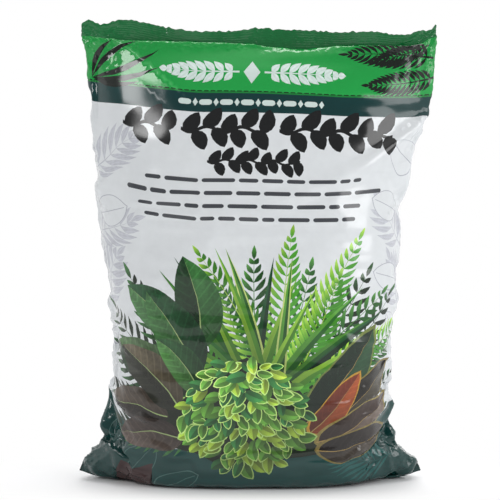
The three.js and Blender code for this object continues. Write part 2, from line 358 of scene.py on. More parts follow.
@dataclass(frozen=True)
class Draping:
    """Fills the flat tube: the compost swells, the floor rises and the seals move to their places."""

    tube: FilmTube = FilmTube()
    compost: Compost = Compost()
    pins: tuple[EdgePin, ...] = (
        EdgePin(Side.LEFT, 41, -118.5, 1, 290),
        EdgePin(Side.LEFT, 86, -116, -2, 246),
        EdgePin(Side.LEFT, 122, -114.5, 2, 212),
        EdgePin(Side.LEFT, 158, -110.5, 0, 178),
        EdgePin(Side.LEFT, 222, -104, 0, 119),
        EdgePin(Side.LEFT, 236, -97.5, -5, 111),
        EdgePin(Side.LEFT, 262, -103, 0, 92),
        EdgePin(Side.LEFT, 296, -106, 6, 70),
        EdgePin(Side.LEFT, 330, -112.5, -2, 42),
        EdgePin(Side.LEFT, 360, -120, 2, 24),
        EdgePin(Side.RIGHT, 54, 132, 0, 272),
        EdgePin(Side.RIGHT, 66, 124, -5, 262),
        EdgePin(Side.RIGHT, 133, 109, 3, 202),
        EdgePin(Side.RIGHT, 168, 110.5, 0, 166),
        EdgePin(Side.RIGHT, 204, 111, -2, 134),
        EdgePin(Side.RIGHT, 262, 106, 0, 88),
        EdgePin(Side.RIGHT, 282, 102, -5, 75),
        EdgePin(Side.RIGHT, 310, 108, 2, 56),
        EdgePin(Side.RIGHT, 336, 109.5, -3, 33),
        EdgePin(Side.RIGHT, 362, 117, 2, 18),
    )
    nicks: tuple[Nick, ...] = (
        Nick(Side.LEFT, 223, 3.0),
        Nick(Side.LEFT, 278, 3.0),
        Nick(Side.LEFT, 88, 1.5),
        Nick(Side.LEFT, 158, 1.25),
        Nick(Side.RIGHT, 53, 3.5),
        Nick(Side.RIGHT, 133, 2.5),
        Nick(Side.RIGHT, 263, 3.0),
        Nick(Side.RIGHT, 313, 2.5),
    )
    nick_spread: float = 8.0
    nick_reach: float = 13.0
    seal_height: float = 322.0
    seal_lean: float = 6.5
    left_rise: float = 10.5
    left_rise_middle: float = -105.0
    left_rise_spread: float = 38.0
    right_rise: float = 6.5
    right_rise_middle: float = 131.0
    right_rise_spread: float = 24.0
    seal_wander: float = 2.2
    wander_wave: float = 118.0
    ear_reach: float = 126.0
    ear_lift: float = 11.0
    foot_seam: float = 2.0
    ear_start: float = 0.78
    frames: int = 50
    filling_share: float = 0.7
    thin: float = 0.02
    puff: float = 3.0
    filling_clearance: float = 1.5
    plate_clearance: float = 1.0
    plate_start: float = 4.0
    plate_width: float = 1.0
    plate_depth: float = 0.1

    def point_index(self, row: int, column: int) -> int:
        """Number the cloth points, where the two faces share the points of both seals.

        Args:
            row: Row, from the foot up.
            column: Column round the tube, from the left edge over the front.

        Returns:
            The point's index.
        """
        columns, rows = self.tube.cloth_columns, self.tube.cloth_rows
        column %= 2 * columns
        if row in (0, rows) and column > columns:
            column = 2 * columns - column
        if row == 0:
            return column
        if row == rows:
            return columns + 1 + 2 * columns * (rows - 1) + column
        return columns + 1 + 2 * columns * (row - 1) + column

    def flat_point(self, row: int, column: int) -> Vector:
        """Place a cloth point in the flat tube, opened a little and nicked at its edges.

        Args:
            row: Row, from the foot up.
            column: Column round the tube.

        Returns:
            The point, in metres.
        """
        columns, rows = self.tube.cloth_columns, self.tube.cloth_rows
        front = column <= columns
        across = (column if front else 2 * columns - column) / columns
        up = row / rows
        gap = self.puff * MM * math.sqrt(math.sin(math.pi * across) * math.sin(math.pi * up) + 1e-9)
        x = (across - 0.5) * self.tube.width
        for nick in self.nicks:
            to_edge = self.tube.width / 2 - nick.side.value * x
            from_nick = (1 - up) * self.tube.length - nick.down
            level = math.exp(-((from_nick / self.nick_spread) ** 2))
            x -= nick.side.value * nick.depth * level * math.exp(-to_edge / self.nick_reach)
        z = self.seal_height - (1 - up) * self.tube.length
        return Vector((x * MM, -gap if front else gap, z * MM))

    def build_tube(self) -> bpy.types.Object:
        """Make the flat tube as a closed mesh.

        Returns:
            The tube's object.
        """
        columns, rows = self.tube.cloth_columns, self.tube.cloth_rows
        points = [Vector()] * (2 * columns * (rows - 1) + 2 * (columns + 1))
        for row in range(rows + 1):
            for column in range(2 * columns):
                points[self.point_index(row, column)] = self.flat_point(row, column)
        faces = []
        for row in range(rows):
            for column in range(2 * columns):
                corners = [(row, column), (row, column + 1), (row + 1, column + 1), (row + 1, column)]
                faces.append(tuple(dict.fromkeys(self.point_index(*corner) for corner in corners)))
        mesh = bpy.data.meshes.new("film_tube")
        mesh.from_pydata(points, [], faces)
        tube = bpy.data.objects.new("film_tube", mesh)
        bpy.context.scene.collection.objects.link(tube)
        return tube

    def seal_point(self, x: float) -> Vector:
        """Find a point of the top seal line.

        Args:
            x: Its place across the film, in millimetres.

        Returns:
            The point, in millimetres.
        """
        from_left = (x - self.left_rise_middle) / self.left_rise_spread
        from_right = (x - self.right_rise_middle) / self.right_rise_spread
        rise = self.left_rise * math.exp(-(from_left**2))
        rise += self.right_rise * math.exp(-(from_right**2))
        wander = self.seal_wander * math.sin(2 * math.pi * x / self.wander_wave)
        return Vector((x + self.seal_lean, wander, self.seal_height + rise))

    def foot_point(self, x: float) -> Vector:
        """Find a point of the bottom seal line, which is flat underneath and lifted at the corners.

        Args:
            x: Its place across the film, in millimetres.

        Returns:
            The point, in millimetres.
        """
        half = self.tube.width / 2
        lift = float(smooth(np.array((abs(x) / half - self.ear_start) / (1 - self.ear_start))))
        return Vector((x * self.ear_reach / half, 0, self.foot_seam + self.ear_lift * lift))

    def pin_places(self) -> dict[int, Vector]:
        """Find where each led point of the cloth ends.

        Returns:
            Places in metres, by the points' indices.
        """
        columns, rows = self.tube.cloth_columns, self.tube.cloth_rows
        places = {}
        for column in range(columns + 1):
            x = (column / columns - 0.5) * self.tube.width
            places[self.point_index(rows, column)] = self.seal_point(x) * MM
            places[self.point_index(0, column)] = self.foot_point(x) * MM
        for pin in self.pins:
            row = round(float(self.tube.cloth_row(np.array(pin.down))))
            column = 0 if pin.side is Side.LEFT else columns
            places[self.point_index(row, column)] = Vector((pin.x, pin.y, pin.z)) * MM
        return places

    def settle(self) -> np.ndarray:
        """Run the cloth simulation.

        Returns:
            Points of the draped film by row, from the foot up, and by column round the tube.
        """
        scene = bpy.context.scene
        filled = int(self.frames * self.filling_share)
        film = self.lead_film(filled)
        filling = self.swell_filling(filled)
        plate = self.raise_plate(filled)
        cloth = film.modifiers.new("cloth", "CLOTH")
        self.set_up(cloth)
        scene.frame_start, scene.frame_end = 1, self.frames
        cloth.point_cache.frame_start, cloth.point_cache.frame_end = 1, self.frames
        for frame_number in range(1, self.frames + 1):
            scene.frame_set(frame_number)
        settled = film.evaluated_get(bpy.context.evaluated_depsgraph_get()).to_mesh()
        points = np.empty(len(settled.vertices) * 3)
        settled.vertices.foreach_get("co", points)
        points = points.reshape(-1, 3)
        columns, rows = self.tube.cloth_columns, self.tube.cloth_rows
        order = [[self.point_index(row, column) for column in range(2 * columns)] for row in range(rows + 1)]
        draped = points[np.array(order)]
        for scaffold in (film, filling, plate):
            bpy.data.objects.remove(scaffold)
        scene.frame_set(1)
        return draped

    def lead_film(self, filled: int) -> bpy.types.Object:
        """Make the flat tube, with its seals and side edges led to their places.

        Args:
            filled: The frame at which they have arrived.

        Returns:
            The tube's object.
        """
        film = self.build_tube()
        places = self.pin_places()
        pinned = film.vertex_groups.new(name="pinned")
        pinned.add(list(places), 1.0, "REPLACE")
        film.shape_key_add(name="flat")
        sealed = film.shape_key_add(name="standing")
        for index, place in places.items():
            sealed.data[index].co = place
        self.ramp(film.data.shape_keys, sealed, (0, 1), filled)
        return film

    def swell_filling(self, filled: int) -> bpy.types.Object:
        """Make the filling, which swells from a thin slab.

        Args:
            filled: The frame at which it is full.

        Returns:
            The filling's object.
        """
        filling = self.compost.build()
        filling.shape_key_add(name="full")
        thin = filling.shape_key_add(name="thin")
        for point in thin.data:
            point.co.y *= self.thin
        self.ramp(filling.data.shape_keys, thin, (1, 0), filled)
        self.collide(filling, self.filling_clearance)
        return filling

    def raise_plate(self, filled: int) -> bpy.types.Object:
        """Make the plate that rises to the floor and folds the foot under the bag.

        Args:
            filled: The frame at which it has reached the floor.

        Returns:
            The plate's object.
        """
        bpy.ops.mesh.primitive_cube_add(size=1, location=(0, 0, 0))
        plate = bpy.context.active_object
        plate.dimensions = (self.plate_width, self.plate_width, self.plate_depth)
        lowest = self.seal_height - self.tube.length - self.plate_start
        for frame_number, height in ((1, lowest * MM), (filled, 0)):
            plate.location.z = height - self.plate_depth / 2
            plate.keyframe_insert("location", frame=frame_number)
        self.straighten(plate)
        self.collide(plate, self.plate_clearance)
        return plate

    @staticmethod
    def straighten(owner: bpy.types.Object | bpy.types.Key) -> None:
        """Make keyed values run at an even pace.

        Args:
            owner: The object or the shape keys that the values belong to.
        """
        for curve in owner.animation_data.action.fcurves:
            for key in curve.keyframe_points:
                key.interpolation = "LINEAR"

    def ramp(self, keys: bpy.types.Key, key: bpy.types.ShapeKey, values: Place, last: int) -> None:
        """Run a shape key from one value to another, from the first frame on.

        Args:
            keys: The mesh's shape keys.
            key: The one that runs.
            values: Its first and its last value.
            last: The frame of the last value.
        """
        for frame_number, value in zip((1, last), values):
            key.value = value
            key.keyframe_insert("value", frame=frame_number)
        self.straighten(keys)

    @staticmethod
    def collide(body: bpy.types.Object, clearance: float) -> None:
        """Make a body that the film can't enter.

        Args:
            body: The body.
            clearance: How far off the film stays, in millimetres.
        """
        body.modifiers.new("collision", "COLLISION")
        collision = body.collision
        collision.thickness_outer = clearance * MM
        collision.thickness_inner = 0.01
        collision.cloth_friction = 2
        collision.use_culling = True

    @staticmethod
    def set_up(cloth: bpy.types.ClothModifier) -> None:
        """Give the cloth the behaviour of thin stiff film.

        Args:
            cloth: The film's cloth modifier.
        """
        film = cloth.settings
        film.quality = 5
        film.mass = 0.3
        film.tension_stiffness = film.compression_stiffness = 25
        film.shear_stiffness = 12
        film.bending_stiffness = 0.5
        film.tension_damping = film.compression_damping = film.shear_damping = 2
        film.effector_weights.gravity = 0
        film.vertex_group_mass = "pinned"
        film.pin_stiffness = 50
        touch = cloth.collision_settings
        touch.use_collision = True
        touch.distance_min = 0.001
        touch.collision_quality = 4
        touch.use_self_collision = True
        touch.self_distance_min = 0.0015


@dataclass(frozen=True)
class Creasing:
    """How deep the creases are in one part of the film: a share of the gathers, then millimetres."""

    gathers: float = 0.0
    coarse: float = 0.0
    fine: float = 0.0


@dataclass
class FilmSurface:
    """The draped film as one smooth surface over the flat tube, with its fins and fine creases."""

    tube: FilmTube
    draped: np.ndarray
    edge_sharpness: float = 0.7
    ironing: int = 8
    ironing_rate: float = 0.6
    taut_share: float = 0.18
    taut_from_side: Ease = Ease(8, 14)
    taut_from_seal: Ease = Ease(3, 8)
    taut_from_foot: Ease = Ease(55, 30)
    shoulder_middle: Place = (-84.0, 42.0)
    shoulder: Ease = Ease(67.2, -42)
    body: Ease = Ease(0, 25)
    valley_depth: float = 8.0
    valley_reach: float = 4.2
    crest_down: float = 6.0
    crest_spread: float = 8.0
    crest_swell: float = 1.6
    film_gap: float = 0.4
    gap_reach: float = 2.0
    foot_gap_share: float = 0.8
    sealed: Ease = Ease(5, -5)
    fin_datum: float = 5.5
    fin_raggedness: float = 0.35
    fin_lean: float = 0.06
    fin_waves: tuple[tuple[float, float, float], ...] = ((0.1, 21.0, 1.0), (0.05, 6.5, 0.0))
    ear: Ease = Ease(96, 28)
    ear_splay: float = 0.35
    ear_hang: float = 0.8
    ear_fall: float = 0.6
    foot_fall: float = 0.3
    fin_lowest: float = 0.45
    lowest: float = 0.9
    foot_corner: Creasing = Creasing(1.0, 0.16, 0.05)
    foot_corner_up: Ease = Ease(66, -26)
    foot_corner_out: Ease = Ease(84, 22)
    top_corner: Creasing = Creasing(0.75, 0.25)
    top_corner_down: Ease = Ease(44, -26)
    top_corner_out: Ease = Ease(92, 22)
    side_edge: Creasing = Creasing(coarse=0.12, fine=0.08)
    side_spread: float = 16.0
    crest: Creasing = Creasing(fine=0.3)
    fin: Creasing = Creasing(fine=0.15)
    fin_up: Ease = Ease(0, -4)
    soft_depth: float = 0.1
    crease_datum: float = 0.4
    gather_count: float = 32.0
    gather_depth: float = 1.4
    gather_growth: float = 0.045
    gather_start: float = 4.0
    gather_run: float = 0.3
    gather_shift: float = 90.0
    off_floor: Ease = Ease(1.5, 8)
    step: float = 0.35

    def __post_init__(self) -> None:
        """Sharpen the draped film, so that the smooth surface runs through its points."""
        points = self.ironed(self.draped / MM)
        soft = (np.roll(points, 1, 1) + 4 * points + np.roll(points, -1, 1)) / 6
        inner = (soft[:-2] + 4 * soft[1:-1] + soft[2:]) / 6
        control = points.copy()
        control[1:-1] += self.edge_sharpness * (points[1:-1] - inner)
        first, last = 2 * control[0] - control[1], 2 * control[-1] - control[-2]
        self.control = np.concatenate([first[None], control, last[None]])

    def ironed(self, points: np.ndarray) -> np.ndarray:
        """Pull the small waves flat where the film is taut, and most of all at the left shoulder.

        Args:
            points: Points of the draped film, in millimetres.

        Returns:
            The calmer points.
        """
        tube = self.tube
        down = tube.length * (1 - np.arange(tube.cloth_rows + 1) / tube.cloth_rows)[:, None]
        across = (np.arange(2 * tube.cloth_columns) / tube.cloth_columns - 0.5)[None] * tube.width
        flat_x = np.where(across > tube.width / 2, tube.width - across, across)
        taut = self.taut_from_side.at(tube.width / 2 - np.abs(flat_x))
        taut = taut * self.taut_from_seal.at(down) * self.taut_from_foot.at(tube.length - down)
        left, level = self.shoulder_middle
        shoulder = self.shoulder.at(np.hypot(flat_x - left, down - level))
        share = taut * (self.taut_share + (1 - self.taut_share) * shoulder)
        for _ in range(self.ironing):
            inner = points[1:-1]
            mean = (points[:-2] + points[2:] + np.roll(inner, 1, 1) + np.roll(inner, -1, 1)) / 4
            calm = points.copy()
            calm[1:-1] += self.ironing_rate * share[1:-1, :, None] * (mean - inner)
            points = calm
        return points

    @staticmethod
    def weights(share: np.ndarray) -> list[np.ndarray]:
        """Weigh the four control points round a place on a smooth curve.

        Args:
            share: How far the place is from the second of them to the third.

        Returns:
            Their shares.
        """
        rest = 1 - share
        return [
            rest**3 / 6,
            (3 * share**3 - 6 * share**2 + 4) / 6,
            (3 * rest**3 - 6 * rest**2 + 4) / 6,
            share**3 / 6,
        ]

    def draped_point(self, across: np.ndarray, down: np.ndarray) -> np.ndarray:
        """Find points of the draped film.

        Args:
            across: Places across the film, in millimetres.
            down: Places down the film, in millimetres.

        Returns:
            Points, in millimetres.
        """
        columns, rows = 2 * self.tube.cloth_columns, self.tube.cloth_rows
        column = self.tube.cloth_column(across)
        row = np.clip(self.tube.cloth_row(down), 0, rows)
        first_column = np.floor(column).astype(int)
        first_row = np.minimum(np.floor(row).astype(int), rows - 1)
        by_column = self.weights(column - first_column)
        by_row = self.weights(row - first_row)
        total = np.zeros((len(across), 3))
        for i, row_share in enumerate(by_row):
            for j, column_share in enumerate(by_column):
                corner = self.control[first_row + i, (first_column + j - 1) % columns]
                total += (row_share * column_share)[:, None] * corner
        return total

    def bare_point(self, across: np.ndarray, down: np.ndarray) -> np.ndarray:
        """Find points of the film with its crest and fins, but without fine creases.

        Args:
            across: Places across the film, in millimetres.
            down: Places down the film, in millimetres.

        Returns:
            Points, in millimetres.
        """
        tube = self.tube
        half = tube.width / 2
        face = np.where(np.abs(across) <= half, -1.0, 1.0)
        flat_x = self.tube.folded(across)
        inside = np.clip(down, 0, tube.length)
        point = self.draped_point(across, inside)
        to_edge = np.clip(half - np.abs(flat_x), 0, half)
        body = self.body.at(to_edge)
        point[:, 2] -= self.valley_depth * body * np.exp(-inside / self.valley_reach)
        point[:, 1] += face * self.crest_swell * body * bell(inside - self.crest_down, self.crest_spread)
        gap = face * self.film_gap * np.sqrt(np.clip(to_edge / self.gap_reach, 0, 1))
        point[:, 1] += gap * self.sealed.at(inside)
        self.raise_top_fin(point, flat_x, np.clip(-down, 0, tube.top_fin), body)
        hang = np.clip(down - tube.length, 0, tube.foot_fin)
        self.lower_foot_fin(point, flat_x, hang)
        base = np.where(hang > 0, self.fin_lowest, self.lowest)
        point[:, 2] = np.maximum(point[:, 2], base)
        point[:, 2] += gap * self.foot_gap_share * self.sealed.at(tube.length - inside)
        return point

    def raise_top_fin(
        self, point: np.ndarray, flat_x: np.ndarray, rise: np.ndarray, body: np.ndarray
    ) -> None:
        """Move the points of the top fin from the seal line to their places.

        Args:
            point: Points, in millimetres, changed in place.
            flat_x: Their places across the flattened bag.
            rise: How far up the fin they are.
            body: How far each is from the side edges, from 0 to 1.
        """
        ragged = self.fin_raggedness * RAGGED.at(flat_x, 0 * flat_x)
        lowered = (self.valley_depth - self.fin_datum) * body
        stretch = (np.interp(flat_x, *np.array(TOP_EDGE).T) + ragged + lowered) / self.tube.top_fin
        lean = self.fin_lean
        for height, length, phase in self.fin_waves:
            lean = lean + height * np.sin(flat_x / length + phase)
        point[:, 2] += rise * stretch
        point[:, 1] += lean * rise * stretch

    def lower_foot_fin(self, point: np.ndarray, flat_x: np.ndarray, hang: np.ndarray) -> None:
        """Move the points of the foot fin from the seal line to their places.

        Args:
            point: Points, in millimetres, changed in place.
            flat_x: Their places across the flattened bag.
            hang: How far down the fin they are.
        """
        ear = self.ear.at(np.abs(flat_x))
        point[:, 0] += np.sign(flat_x) * hang * self.ear_splay * ear
        point[:, 1] += hang * (1 - self.ear_hang * ear)
        point[:, 2] -= hang * (self.foot_fall + self.ear_fall * ear)

    def relief(self, across: np.ndarray, down: np.ndarray) -> np.ndarray:
        """Find the depth of the fine creases and the single folds.

        Args:
            across: Places across the film, in millimetres.
            down: Places down the film, in millimetres.

        Returns:
            Depths, in millimetres.
        """
        tube = self.tube
        flat_x = self.tube.folded(across)
        reach = np.abs(flat_x)
        to_edge = tube.width / 2 - reach
        from_foot = tube.length - down
        at_foot = self.foot_corner_up.at(from_foot) * self.foot_corner_out.at(reach)
        at_top = self.top_corner_down.at(down) * self.top_corner_out.at(reach)
        foot_gathers = self.gathers(to_edge, from_foot, flat_x)
        top_gathers = self.gathers(to_edge, down + tube.top_fin, flat_x)
        coarse = CREASES.ridges(across, down) - self.crease_datum
        fine = FINE_CREASES.ridges(across, down) - self.crease_datum
        depth = self.soft_depth * SOFT_WAVES.at(across, down)
        for part, share, gathers in (
            (self.foot_corner, at_foot, foot_gathers),
            (self.top_corner, at_top, top_gathers),
            (self.side_edge, bell(to_edge, self.side_spread), 0.0),
            (self.crest, bell(down - self.crest_down, self.crest_spread), 0.0),
            (self.fin, self.fin_up.at(down), 0.0),
        ):
            depth += share * (part.gathers * gathers + part.coarse * coarse + part.fine * fine)
        for fold in FOLDS:
            depth += fold.at(across, down)
        return depth

    def gathers(self, out: np.ndarray, away: np.ndarray, flat_x: np.ndarray) -> np.ndarray:
        """Draw long folds that run together at a corner of the flat bag.

        Args:
            out: Distances in from the side edge, in millimetres.
            away: Distances from the corner's end of the bag.
            flat_x: Places across the flat bag, which tell the two sides apart.

        Returns:
            Heights of the folds.
        """
        radius = np.hypot(out + self.gather_start, away)
        turn = self.gather_count * np.arctan2(np.abs(away), out + self.gather_start)
        shift = self.gather_shift * np.sign(flat_x)
        folds = CREASES.ridges(turn + shift, self.gather_run * radius) - self.crease_datum
        return np.minimum(self.gather_depth, self.gather_growth * radius) * folds

    def place(self, across: np.ndarray, down: np.ndarray) -> tuple[np.ndarray, np.ndarray]:
        """Final points of the film and the directions in which it faces.

        Args:
            across: Places across the film, in millimetres.
            down: Places down the film, in millimetres.

        Returns:
            Points and unit normals, in millimetres.
        """
        normal = self.facing(self.bare_point, across, down)

        def creased(a: np.ndarray, d: np.ndarray) -> np.ndarray:
            """Move the film's points out along its bare normals.

            Args:
                a: Places across the film.
                d: Places down the film.

            Returns:
                Points, in millimetres.
            """
            bare = self.bare_point(a, d)
            depth = self.relief(a, d) * self.off_floor.at(bare[:, 2])
            return bare + depth[:, None] * normal

        return creased(across, down), self.facing(creased, across, down)

    def facing(self, surface: SurfaceMap, across: np.ndarray, down: np.ndarray) -> np.ndarray:
        """Find the directions in which a surface over the flat film faces.

        Args:
            surface: The surface, as points for places across and down.
            across: Places across the film, in millimetres.
            down: Places down the film, in millimetres.

        Returns:
            Unit normals.
        """
        tube = self.tube
        low, high = -tube.top_fin, tube.length + tube.foot_fin
        by_across = surface(across + self.step, down) - surface(across - self.step, down)
        above, below = np.maximum(down - self.step, low), np.minimum(down + self.step, high)
        by_down = surface(across, below) - surface(across, above)
        normal = np.cross(by_down, by_across)
        return normal / np.maximum(np.linalg.norm(normal, axis=1), 1e-9)[:, None]


class LeafKind(Enum):
    """Outlines of leaves, as (along, side) from the stem to the tip, side out of half a width."""

    LANCE = ((0, 0), (0.12, 0.42), (0.32, 0.92), (0.5, 1.0), (0.72, 0.72), (0.9, 0.24), (1, 0))
    OVAL = ((0, 0), (0.05, 0.42), (0.2, 0.86), (0.42, 1.0), (0.66, 0.88), (0.87, 0.5), (1, 0))
    HEART = ((0, 0), (-0.1, 0.3), (-0.08, 0.66), (0.08, 0.97), (0.3, 0.98), (0.6, 0.68), (0.85, 0.24), (1, 0))
    BLADE = ((0, 0), (0.25, 0.8), (0.5, 1.0), (0.8, 0.55), (1, 0))


@dataclass(frozen=True)
class Shape:
    """One printed shape: its outline, and how its colour runs along it."""

    outline: np.ndarray
    start: Colour
    end: Colour
    origin: Place = (0.0, 0.0)
    turn: float = 0.0
    length: float = 1.0
    half_width: float = 1.0
    veins: float = 0.0

    def local(self, places: np.ndarray) -> tuple[np.ndarray, np.ndarray]:
        """Find shares along the shape and out to its side.

        Args:
            places: Places on the flat film, one a row.

        Returns:
            Shares along and shares aside.
        """
        ahead = np.array((math.cos(self.turn), -math.sin(self.turn)))
        aside = np.array((math.sin(self.turn), math.cos(self.turn)))
        offset = places - np.array(self.origin)
        return offset @ ahead / self.length, offset @ aside / self.half_width


def flat(outline: np.ndarray | list[Place], colour: Colour) -> Shape:
    """A shape of one even colour."""
    return Shape(np.array(outline, float), colour, colour)


def shade(colour: Colour, factor: float) -> Colour:
    """A lighter or darker colour."""
    return tuple(min(1.0, part * factor) for part in colour)


def rounded(points: np.ndarray, steps: int) -> np.ndarray:
    """Draw a smooth open curve through a few points.

    Args:
        points: The points, one a row.
        steps: Samples from one point to the next.

    Returns:
        The curve's samples.
    """
    ends = np.concatenate([2 * points[:1] - points[1:2], points, 2 * points[-1:] - points[-2:-1]])
    curve = []
    for i in range(1, len(ends) - 2):
        before, start, end, after = ends[i - 1 : i + 3]
        for share in np.arange(steps) / steps:
            curve.append(
                start
                + 0.5 * share * (end - before)
                + share**2 * (before - 2.5 * start + 2 * end - 0.5 * after)
                + share**3 * (1.5 * (start - end) + 0.5 * (after - before))
            )
    curve.append(points[-1])
    return np.array(curve)


@dataclass(frozen=True)
class Leaf:
    """A printed leaf: it starts at a place on the film and grows in a direction."""

    root: Place
    turn: float
    length: float
    width: float
    kind: LeafKind = LeafKind.OVAL
    light: Colour = (0.4, 0.7, 0.2)
    dark: Colour = (0.2, 0.5, 0.15)
    bow: float = 0.0
    veins: float = 0.0
    rim: Colour | None = None
    rib: Colour | None = None
    inset: float = 0.8
    steps: int = 3
    stem_shade: float = 0.7
    tip_shade: float = 1.08
    rim_shade: float = 1.1
    rib_ends: Place = (0.02, 0.94)
    rib_samples: int = 6
    rib_width: float = 0.035

    def bent(self, along: np.ndarray, side: np.ndarray) -> np.ndarray:
        """Bend shares along and aside round the bowed rib.

        Args:
            along: Shares from the stem to the tip.
            side: Shares of half a width.

        Returns:
            Places on the film.
        """
        ahead = np.array((math.cos(self.turn), -math.sin(self.turn)))
        aside = np.array((math.sin(self.turn), math.cos(self.turn)))
        out = side * self.width / 2 + self.bow * self.length * along * (1 - along) * 4
        return np.array(self.root) + np.outer(along * self.length, ahead) + np.outer(out, aside)

    def half(self, side: float, scale: float, colour: tuple[Colour, Colour]) -> Shape:
        """One half of the blade, from the rib to the edge.

        Args:
            side: 1 or -1 for the two halves.
            scale: Size of the half out of the full leaf.
            colour: Colours at the stem and at the tip.

        Returns:
            The printed shape.
        """
        edge = rounded(np.array(self.kind.value, float), self.steps)
        edge[:, 1] *= side * scale
        edge[:, 0] = 0.5 + (edge[:, 0] - 0.5) * scale
        middle = np.linspace(edge[-1, 0], edge[0, 0], 5)[1:-1]
        rib = np.stack([middle, np.zeros_like(middle)], 1)
        loop = np.concatenate([edge, rib])
        return Shape(
            self.bent(loop[:, 0], loop[:, 1]), *colour, self.root, self.turn, self.length,
            self.width / 2, self.veins,
        )

    def plain(self, veins: float = 0.0) -> Shape:
        """Draw the whole leaf as one shape, dark at the stem and light at the tip.

        Args:
            veins: Strength of its veins.

        Returns:
            The printed shape.
        """
        edge = np.array(self.kind.value, float)
        loop = np.concatenate([edge, (edge * (1, -1))[-2:0:-1]])
        outline = self.bent(loop[:, 0], loop[:, 1])
        return Shape(
            outline, self.dark, self.light, self.root, self.turn, self.length, self.width / 2, veins
        )

    def shapes(self) -> list[Shape]:
        """Draw the rim, the two halves and the rib.

        Returns:
            The printed shapes, in the order of printing.
        """
        shapes = []
        if self.rim:
            rim = (self.rim, shade(self.rim, self.rim_shade))
            shapes += [self.half(side, 1.0, rim) for side in (1, -1)]
        scale = self.inset if self.rim else 1.0
        for side, colour in ((1, self.light), (-1, self.dark)):
            ends = (shade(colour, self.stem_shade), shade(colour, self.tip_shade))
            shapes.append(self.half(side, scale, ends))
        if self.rib:
            along = np.linspace(*self.rib_ends, self.rib_samples)
            width = self.rib_width * (1 - along)
            loop = np.concatenate([self.bent(along, width), self.bent(along[::-1], -width[::-1])])
            shapes.append(flat(loop, self.rib))
        return shapes


@dataclass(frozen=True)
class Stalk:
    """A bowed stalk that leaves grow from."""

    root: Place
    turn: float
    length: float
    bow: float = 0.0
    width: float = 1.2
    colour: Colour = (0.35, 0.5, 0.15)

    def point(self, share: float) -> np.ndarray:
        """Find a place on the stalk.

        Args:
            share: How far along it.

        Returns:
            The place on the film.
        """
        ahead = np.array((math.cos(self.turn), -math.sin(self.turn)))
        aside = np.array((math.sin(self.turn), math.cos(self.turn)))
        out = self.bow * self.length * share**2
        return np.array(self.root) + ahead * share * self.length + aside * out

    def direction(self, share: float) -> float:
        """Direction of the stalk at a place on it."""
        return self.turn - math.atan(2 * self.bow * share)

    def shapes(self) -> list[Shape]:
        """Draw the stalk as a thin tapering strip.

        Returns:
            The strip, as the only shape.
        """
        shares = np.linspace(0, 1, 9)
        middle = np.array([self.point(share) for share in shares])
        turns = np.array([self.direction(share) for share in shares])
        aside = np.stack([np.sin(turns), np.cos(turns)], 1) * (self.width / 2 * (1.15 - shares))[:, None]
        return [flat(np.concatenate([middle + aside, (middle - aside)[::-1]]), self.colour)]


@dataclass(frozen=True)
class Frond:
    """A stalk with pairs of leaflets, as on a fern or a fishbone leaf."""

    stalk: Stalk
    pairs: int
    leaflet: float
    leaflet_width: float
    light: Colour
    dark: Colour
    spread: float = 1.05
    first: float = 0.12
    kind: LeafKind = LeafKind.BLADE
    bow: float = 0.08
    veins: float = 0.35
    closing: float = 0.45
    roundness: float = 0.8

    def shapes(self) -> list[Shape]:
        """Draw leaflets from the tip down, with the stalk over them.

        Returns:
            The printed shapes, in the order of printing.
        """
        shapes = []
        for index in reversed(range(self.pairs)):
            share = self.first + (1 - self.first) * (index + 0.5) / self.pairs
            size = self.leaflet * math.sin(math.pi * min(1, 0.16 + 0.8 * share)) ** self.roundness
            for side in (1, -1):
                turn = self.stalk.direction(share) + side * self.spread * (1 - self.closing * share)
                leaf = Leaf(
                    tuple(self.stalk.point(share)), turn, size, self.leaflet_width, self.kind,
                    self.light if side > 0 else self.dark, self.dark, -side * self.bow,
                )
                shapes.append(leaf.plain(self.veins))
        end = self.stalk.point(1)
        tip = Leaf(
            tuple(end), self.stalk.direction(1), self.leaflet * 0.5, self.leaflet_width, self.kind,
            self.light, self.dark,
        )
        return shapes + [tip.plain(self.veins)] + self.stalk.shapes()


@dataclass(frozen=True)
class Strap:
    """A long arching blade in two tones, with or without a pale edge."""

    stalk: Stalk
    width: float
    light: Colour
    dark: Colour
    edge: Colour | None = None
    samples: int = 9
    root_share: float = 0.45
    swells_over: float = 0.4
    taper: float = 2.4
    veins: float = 0.2
    inset: float = 0.66
    root_shade: float = 0.55
    edge_shade: float = 0.7

    def strip(self, low: float, high: float, ends: tuple[Colour, Colour]) -> Shape:
        """Draw a strip along the blade.

        Args:
            low: Its one side, as a share of half the width.
            high: Its other side.
            ends: Colours at the root and at the tip.

        Returns:
            The printed shape.
        """
        shares = np.linspace(0, 1, self.samples)
        middle = np.array([self.stalk.point(share) for share in shares])
        turns = np.array([self.stalk.direction(share) for share in shares])
        swelling = self.root_share + (1 - self.root_share) * smooth(shares / self.swells_over)
        half = self.width / 2 * swelling * (1 - shares**self.taper)
        aside = np.stack([np.sin(turns), np.cos(turns)], 1) * half[:, None]
        outline = np.concatenate([middle + low * aside, (middle + high * aside)[::-1]])
        stalk = self.stalk
        return Shape(outline, *ends, stalk.root, stalk.turn, stalk.length, self.width / 2, self.veins)

    def shapes(self) -> list[Shape]:
        """Draw the edge, then the lit half and the shaded half.

        Returns:
            The printed shapes, in the order of printing.
        """
        reach = self.inset if self.edge else 1.0
        shapes = [self.strip(-1, 1, (shade(self.edge, self.edge_shade), self.edge))] if self.edge else []
        shapes.append(self.strip(-reach, 0, (shade(self.light, self.root_shade), self.light)))
        shapes.append(self.strip(0, reach, (shade(self.dark, self.root_shade), self.dark)))
        return shapes


